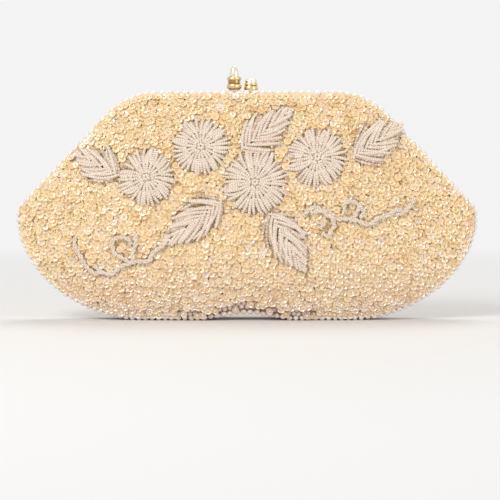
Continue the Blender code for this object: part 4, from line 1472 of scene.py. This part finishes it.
class SequinField:
    """Places of the sequins of one side: each is kept where no other lies too near.

    Rows follow both edges, loose staggered rows lie between them, and fillers close the gaps. Over the seed
    pearls of the arch most are left out, so that the pearls show between them.
    """

    TIP_ROOM = 0.0034
    SIDE_ROOM = 0.0028
    FROM_BOTTOM = 0.0027
    BOTTOM_ROOM = 0.0031
    CORNER_ROOM = 0.002
    EDGE_ROOM = 0.004
    REACH = 0.110
    ROW_SHARE = 0.866
    OVER_PEARLS_BELOW = 0.0062
    OVER_PEARLS_SHARE = 0.35
    FILLER_SPACING = 0.0012
    FILLER_STRAY = 0.0004

    def __init__(self, rng, skin, bottom, pearls):
        sequins = settings().sequins
        self.rng, self.skin, self.bottom, self.pearls = rng, skin, bottom, pearls
        self.crowd, self.found = Crowd(), []
        self.inset = settings().beads.edging_width * 0.50 + sequins.size * 0.42
        self.follow_edges(sequins.spacing)
        self.fill(sequins.spacing, sequins.stray, sequins.spacing * 0.60)
        self.fill(self.FILLER_SPACING, self.FILLER_STRAY, sequins.spacing * 0.64)

    def keep(self, place, room):
        """Takes a place that has room, except most of those over the seed pearls of the arch."""
        point = place[0]
        if self.crowd.nearest(point.x, point.z) > room:
            self.crowd.add(point.x, point.z)
            low_down = point.z - bottom_edge(point.x) < self.OVER_PEARLS_BELOW
            over_pearls = low_down and self.pearls.nearest(point.x, point.z) < PEARL_ROOM
            if not over_pearls or self.rng.random() < self.OVER_PEARLS_SHARE:
                self.found.append(place)

    def follow_edges(self, step):
        """One row below the top edge and one above the bottom edge."""
        end = edge_end(self.TIP_ROOM, self.inset)
        count = round(2 * end / step)
        for number in range(count + 1):
            x, z, lean = edge_at(-end + 2 * end * number / count, self.inset)
            self.along(x, z, (math.cos(lean), -math.sin(lean)), step)
        for spot, way in bottom_places(step, tips=True):
            x, z = spot.x - way.y * self.FROM_BOTTOM, spot.y + way.x * self.FROM_BOTTOM
            if under_edge(x, z) > self.TIP_ROOM:
                self.along(x, z, way, step)

    def along(self, x, z, way, step):
        """A place on the face, turned the way that its edge runs."""
        point, out = self.skin.face(x, z, 0)
        self.keep((point, Vector((way[0], 0, way[1])), out), step * 0.8)

    def fill(self, step, stray, room):
        """Staggered rows over the whole face, up to the rows that follow its edges."""
        rows, columns = math.ceil(self.REACH / (step * self.ROW_SHARE)), math.ceil(HALF_WIDTH / step)
        for row in range(-rows, rows):
            for column in range(-columns, columns + 1):
                x = (column + 0.5 * (row % 2)) * step + self.rng.uniform(-1, 1) * stray
                distance = row * step * self.ROW_SHARE + self.rng.uniform(-1, 1) * stray
                if abs(x) > HALF_WIDTH - self.SIDE_ROOM:
                    continue
                _, corner, edge = self.skin.reach(x)
                if not corner + self.CORNER_ROOM < distance < edge - self.EDGE_ROOM:
                    continue
                place = self.skin.at(x, distance)
                z = place[0].z
                if under_edge(x, z) > self.inset and self.bottom.nearest(x, z) > self.BOTTOM_ROOM:
                    self.keep(place, room)


class CLUTCH_OT_sequins(Operator):
    """Cover both sides with overlapping sequins, held down by beads, up to the pearls and edging"""

    bl_idname = "clutch.sequins"
    bl_label = "Sequins"

    BOTTOM_PITCH = 0.0008
    ARCH_REACH = ARCH_HALF + 0.006
    # Sequins this near a strand are pressed flat, and those a little further out have no bead either
    PRESSED_WITHIN = 0.0010
    NO_BEAD_WITHIN = 0.0014
    PRESSED_HEIGHT = -0.00095
    LOWEST = -0.0007
    HIGHEST = -0.0002
    LIFT_ON_PEARLS = 0.0011
    BEAD_RISE = 0.0002
    PEARLY_FADE = 0.008

    def execute(self, context):
        film, glass = sequin_finish(), glass_finish()
        cup, bead = Stamp(cup_shape(), rim=True), Stamp(pearl_shape(6, 4))
        bottom = Crowd()
        for spot, _ in bottom_places(self.BOTTOM_PITCH, tips=True):
            bottom.add(*spot)
        strand_pieces = [key + "_strands" for key in (*FLOWER_SHARES, *LEAF_SHARES, *VINE_SHARES)]
        for name, side in SIDES:
            rng = random.Random(7 + side)
            pearls = self.gather([name + "_seed_pearls"], self.ARCH_REACH)
            strands = self.gather(strand_pieces if side < 0 else [], HALF_WIDTH)
            low, high, holders = bmesh.new(), bmesh.new(), bmesh.new()
            for place in SequinField(rng, Skin(side), bottom, pearls).found:
                point = place[0]
                covered = strands.nearest(point.x, point.z)
                lean, height, matrix = self.lie(rng, place, covered, pearls)
                cup.press(low if point.z < HINGE_HEIGHT else high, matrix, rng.random())
                if covered > self.NO_BEAD_WITHIN:
                    self.hold(holders, bead, rng, place, lean, height)
            hang(put(low, name + "_pouch_sequins", film, 20), "sequin_cloth", side, "beaded_pouch")
            hang(put(high, name + "_upper_sequins", film, 20), "sequin_cloth", side, name + "_upper_panel")
            hang(put(holders, name + "_sequin_beads", glass), "sequin_cloth", side,
                 "beaded_pouch", name + "_upper_panel")
        cup.clear()
        bead.clear()
        return {"FINISHED"}

    def lie(self, rng, place, covered, pearls):
        """How a sequin leans, how high it lies, and the matrix for both."""
        sequins = settings().sequins
        point, across, out = place
        up = out.cross(across)
        scatter = math.tan(sequins.scatter)
        lean = out + up * math.tan(sequins.shingle) * (1 if up.z > 0 else -1)
        lean += across * rng.gauss(0, 0.6) * scatter + up * rng.gauss(0, 0.6) * scatter
        radius = sequins.size / 2 * rng.uniform(0.88, 1.06)
        pressed = covered < self.PRESSED_WITHIN
        height = self.PRESSED_HEIGHT if pressed else rng.uniform(self.LOWEST, self.HIGHEST)
        height += self.LIFT_ON_PEARLS * (pearls.nearest(point.x, point.z) < PEARL_ROOM)
        spin = Matrix.Rotation(rng.uniform(0, math.tau), 4, "Z")
        return lean, height, seat(point + out * height, across, lean, (radius, radius, radius)) @ spin

    def hold(self, bm, bead, rng, place, lean, height):
        """Sets the bead that holds a sequin down, larger and whiter near the bottom."""
        sequins = settings().sequins
        point, across, out = place
        low_down = clamp((sequins.pearly_below - point.z) / self.PEARLY_FADE)
        radius = sequins.bead / 2 * rng.uniform(0.85, 1.1) * (1 + 0.5 * low_down)
        tint = max(rng.random(), low_down * rng.uniform(0.7, 1.1))
        spot = point + out * (height + self.BEAD_RISE)
        bead.press(bm, seat(spot, across, lean, (radius, radius, radius * 0.8)), tint)

    def gather(self, names, reach):
        """Crowd of every fifth point of pieces that were made before, as far out as the reach."""
        crowd = Crowd()
        for name in names:
            piece = bpy.data.objects.get(name)
            if piece is None:
                raise RuntimeError(f"make {name} before the sequins")
            for vert in list(piece.data.vertices)[::5]:
                if abs(vert.co.x) < reach:
                    crowd.add(vert.co.x, vert.co.z)
        return crowd


# Clasp and frame


def rounded_ring(radius, low, high, bulge):
    """Stations of a ring with a rounded face, for a turning profile."""
    steps = 8
    turns = [math.pi * (step / steps - 0.5) for step in range(steps + 1)]
    middle, reach = (low + high) / 2, (high - low) / 2
    return [(radius - bulge + bulge * math.cos(turn), middle + reach * math.sin(turn)) for turn in turns]


class CLUTCH_OT_clasp(Operator):
    """Turn the two knobs of the kiss lock"""

    bl_idname = "clutch.clasp"
    bl_label = "Clasp"

    TURNING_STEPS = 56
    SHORT_HEIGHT_SHARE = 0.88
    # Where the gilt turns from browned to rubbed, as shares of a knob's height and radius
    RUBBED_ABOVE_SHARE = 0.545
    GROOVE_SHARE = 0.80
    GROOVE_SPREAD_SHARE = 0.18

    def execute(self, context):
        material = gilt_finish("knob_gilt", True)
        low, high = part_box("tall_knob")
        profile = self.tall_profile((high.x - low.x) / 2, high.z - low.z)
        self.knob("tall_knob_turned", profile, low, high, material, "tall_knob", "back_frame")

        low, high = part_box("short_knob")
        profile = self.short_profile((high.x - low.x) / 2, (high.z - low.z) * self.SHORT_HEIGHT_SHARE)
        self.knob("short_knob_turned", profile, low, high, material, "short_knob", "front_frame")
        return {"FINISHED"}

    def tall_profile(self, wide, tall):
        """A foot, two rings with a groove between them, and a bullet on top."""
        profile = [(0, 0), (wide * 0.74, 0), (wide * 0.74, tall * 0.03)]
        profile += rounded_ring(wide, tall * 0.04, tall * 0.25, wide * 0.20)
        profile += [(wide * 0.83, tall * 0.275), (wide * 0.81, tall * 0.32), (wide * 0.83, tall * 0.365)]
        profile += rounded_ring(wide * 0.98, tall * 0.385, tall * 0.53, wide * 0.16)
        bullet = wide * 0.64
        profile += [(bullet * 1.10, tall * 0.54), (bullet, tall * 0.555)]
        for step in range(1, 17):
            share = step / 16
            profile.append((bullet * (1 - share**2.4) ** 0.62, tall * (0.555 + 0.445 * share)))
        return profile

    def short_profile(self, wide, tall):
        """A drum that narrows upwards, a ring, and a dome on top."""
        profile = [(0, 0), (wide * 0.97, 0), (wide, tall * 0.06)]
        profile += [(wide * 0.96, tall * 0.24), (wide * 0.91, tall * 0.34)]
        profile += rounded_ring(wide * 0.93, tall * 0.36, tall * 0.60, wide * 0.12)
        profile.append((wide * 0.80, tall * 0.63))
        for step in range(13):
            turn = math.pi / 2 * step / 12
            dome = tall * (0.66 + 0.34 * math.sin(turn) ** 0.8)
            profile.append((wide * 0.86 * math.cos(turn) ** 0.7, dome))
        return profile

    def knob(self, name, profile, low, high, material, node, body):
        """Turns a profile in the middle of a packed box, closed on its axis."""
        top = profile[-1][1]
        profile = profile[:-1] + [(0, top)]
        bm = turned(profile, self.TURNING_STEPS)
        widest = max(radius for radius, _ in profile)
        tint = bm.verts.layers.float.new("tint")
        for vert in bm.verts:
            out_of_groove = (vert.co.xy.length / widest - self.GROOVE_SHARE) / self.GROOVE_SPREAD_SHARE
            rubbed = vert.co.z > self.RUBBED_ABOVE_SHARE * top
            vert[tint] = 1.0 if rubbed else min(max(out_of_groove, 0), 0.75)
        bmesh.ops.translate(bm, verts=bm.verts, vec=((low.x + high.x) / 2, (low.y + high.y) / 2, low.z))
        piece = put(bm, name, material, 40)
        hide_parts(node)
        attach(piece, body)


class CLUTCH_OT_frame_metal(Operator):
    """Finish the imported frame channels, rivets and clasp arms"""

    bl_idname = "clutch.frame_metal"
    bl_label = "Frame Metal"

    def execute(self, context):
        brass, gilt = brass_finish(), gilt_finish("arm_gilt", False)
        for name, material in (
            ("front_frame_channel", brass), ("back_frame_channel", brass),
            ("left_hinge_rivet", brass), ("right_hinge_rivet", brass),
            ("front_clasp_arm", gilt), ("back_clasp_arm", gilt),
        ):
            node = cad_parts[name]
            node.data.materials.clear()
            node.data.materials.append(material)
        return {"FINISHED"}


# Stage


class CLUTCH_OT_stage(Operator):
    """Set up the pale floor, soft studio light and camera"""

    bl_idname = "clutch.stage"
    bl_label = "Stage"

    FLOOR_RADIUS = 3
    FADE = (0.12, 0.75)
    LIT = Vector((0, 0, 0.055))
    AIM = Vector((0.0016, 0.001, 0.036))
    LAMP_COLOUR = (1, 0.985, 0.96)
    ROOM_COLOUR = (1, 0.985, 0.965, 1)
    SENSOR_WIDTH = 36
    NEAREST_SEEN = 0.01

    def execute(self, context):
        stage = settings().stage
        self.floor(stage)
        self.world(stage)
        self.light("key_light", (-0.55, -0.75, 0.75), 0.55, stage.key)
        self.light("fill_light", (0.80, -0.70, 0.30), 0.60, stage.fill)
        self.light("top_light", (0.10, 0.35, 0.95), 0.60, stage.over)
        self.camera(stage)
        context.scene.view_settings.view_transform = "Standard"
        return {"FINISHED"}

    def floor(self, stage):
        """A round floor that fades into the backdrop."""
        bm = bmesh.new()
        bmesh.ops.create_circle(bm, cap_ends=True, segments=96, radius=self.FLOOR_RADIUS)
        finish = Finish("pale_floor", stage.floor, 0.7)
        tree = finish.tree
        speckles = finish.range(finish.clouds(300, 4), 0.3, 0.7, 0.06, 0)
        finish.link(finish.mix(speckles, stage.floor, darker(stage.floor, 0.85)), "Base Color")
        away = finish.add("ShaderNodeVectorMath", {0: finish.place}, operation="LENGTH").outputs["Value"]
        fade = finish.range(away, *self.FADE, 0.0, 1.0)
        glow = finish.add("ShaderNodeEmission", {"Color": (*stage.backdrop, 1), "Strength": 1.0})
        share = finish.maths("MULTIPLY", fade, self.seen(tree))
        mixed = finish.add("ShaderNodeMixShader", {0: share, 1: finish.shader.outputs[0], 2: glow.outputs[0]})
        tree.links.new(mixed.outputs[0], tree.nodes["Material Output"].inputs["Surface"])
        put(bm, "floor", finish.material)

    def seen(self, tree):
        """1 for rays from the camera, a mirror or glass, and 0 for the rays that light the bag."""
        path = tree.nodes.new("ShaderNodeLightPath")
        total = path.outputs["Is Camera Ray"]
        for ray in ("Is Glossy Ray", "Is Transmission Ray"):
            node = tree.nodes.new("ShaderNodeMath")
            node.operation = "MAXIMUM"
            tree.links.new(total, node.inputs[0])
            tree.links.new(path.outputs[ray], node.inputs[1])
            total = node.outputs[0]
        return total

    def world(self, stage):
        """Light from all round, behind a pale backdrop."""
        world = bpy.data.worlds.new("studio")
        world.use_nodes = True
        tree = world.node_tree
        light = tree.nodes["Background"]
        light.inputs["Color"].default_value = self.ROOM_COLOUR
        light.inputs["Strength"].default_value = stage.around
        pale = tree.nodes.new("ShaderNodeBackground")
        pale.inputs["Color"].default_value = (*stage.backdrop, 1)
        mixed = tree.nodes.new("ShaderNodeMixShader")
        tree.links.new(self.seen(tree), mixed.inputs[0])
        tree.links.new(light.outputs[0], mixed.inputs[1])
        tree.links.new(pale.outputs[0], mixed.inputs[2])
        tree.links.new(mixed.outputs[0], tree.nodes["World Output"].inputs["Surface"])
        bpy.context.scene.world = world

    def light(self, name, place, size, watts):
        """A round soft light that faces the bag."""
        lamp = bpy.data.lights.new(name, "AREA")
        lamp.shape = "DISK"
        lamp.size = size
        lamp.energy = watts
        lamp.color = self.LAMP_COLOUR
        stand = bpy.data.objects.new(name, lamp)
        stand.location = place
        stand.rotation_euler = (self.LIT - Vector(place)).to_track_quat("-Z", "Y").to_euler()
        bpy.context.scene.collection.objects.link(stand)

    def camera(self, stage):
        """A long lens straight in front, a little above the bag."""
        data = bpy.data.cameras.new("camera")
        data.lens = stage.lens
        data.sensor_width = self.SENSOR_WIDTH
        data.clip_start = self.NEAREST_SEEN
        camera = bpy.data.objects.new("camera", data)
        back = Vector((0, -math.cos(stage.height), math.sin(stage.height)))
        camera.location = self.AIM + back * stage.distance
        camera.rotation_euler = (-back).to_track_quat("-Z", "Y").to_euler()
        bpy.context.scene.collection.objects.link(camera)
        bpy.context.scene.camera = camera


# Panel and registration

STEPS = (
    CLUTCH_OT_ground_cloth,
    CLUTCH_OT_flowers,
    CLUTCH_OT_leaves,
    CLUTCH_OT_vines,
    CLUTCH_OT_seed_pearls,
    CLUTCH_OT_edging,
    CLUTCH_OT_sequins,
    CLUTCH_OT_interlining,
    CLUTCH_OT_lining,
    CLUTCH_OT_slip_pocket,
    CLUTCH_OT_clasp,
    CLUTCH_OT_frame_metal,
    CLUTCH_OT_stage,
)


class CLUTCH_PT_panel(Panel):
    """Lists the steps that make the clutch"""

    bl_idname = "CLUTCH_PT_panel"
    bl_label = "Beaded Clutch"
    bl_space_type = "VIEW_3D"
    bl_region_type = "UI"
    bl_category = "Clutch"

    def draw(self, context):
        for step in STEPS:
            self.layout.operator(step.bl_idname)
        for group in ("sequins", "beads", "cloth", "metal", "stage"):
            box = self.layout.box()
            box.label(text=group.title())
            owner = getattr(context.scene.clutch, group)
            for key in owner.__annotations__:
                box.prop(owner, key)


CLASSES = (
    SequinSettings, BeadSettings, ClothSettings, MetalSettings, StageSettings, ClutchSettings, *STEPS,
    CLUTCH_PT_panel,
)


def register():
    for item in CLASSES:
        bpy.utils.register_class(item)
    bpy.types.Scene.clutch = PointerProperty(type=ClutchSettings)


def unregister():
    del bpy.types.Scene.clutch
    for item in reversed(CLASSES):
        bpy.utils.unregister_class(item)


def main():
    register()
    for step in STEPS:
        group, name = step.bl_idname.split(".")
        getattr(getattr(bpy.ops, group), name)()


if __name__ == "__main__":
    main()
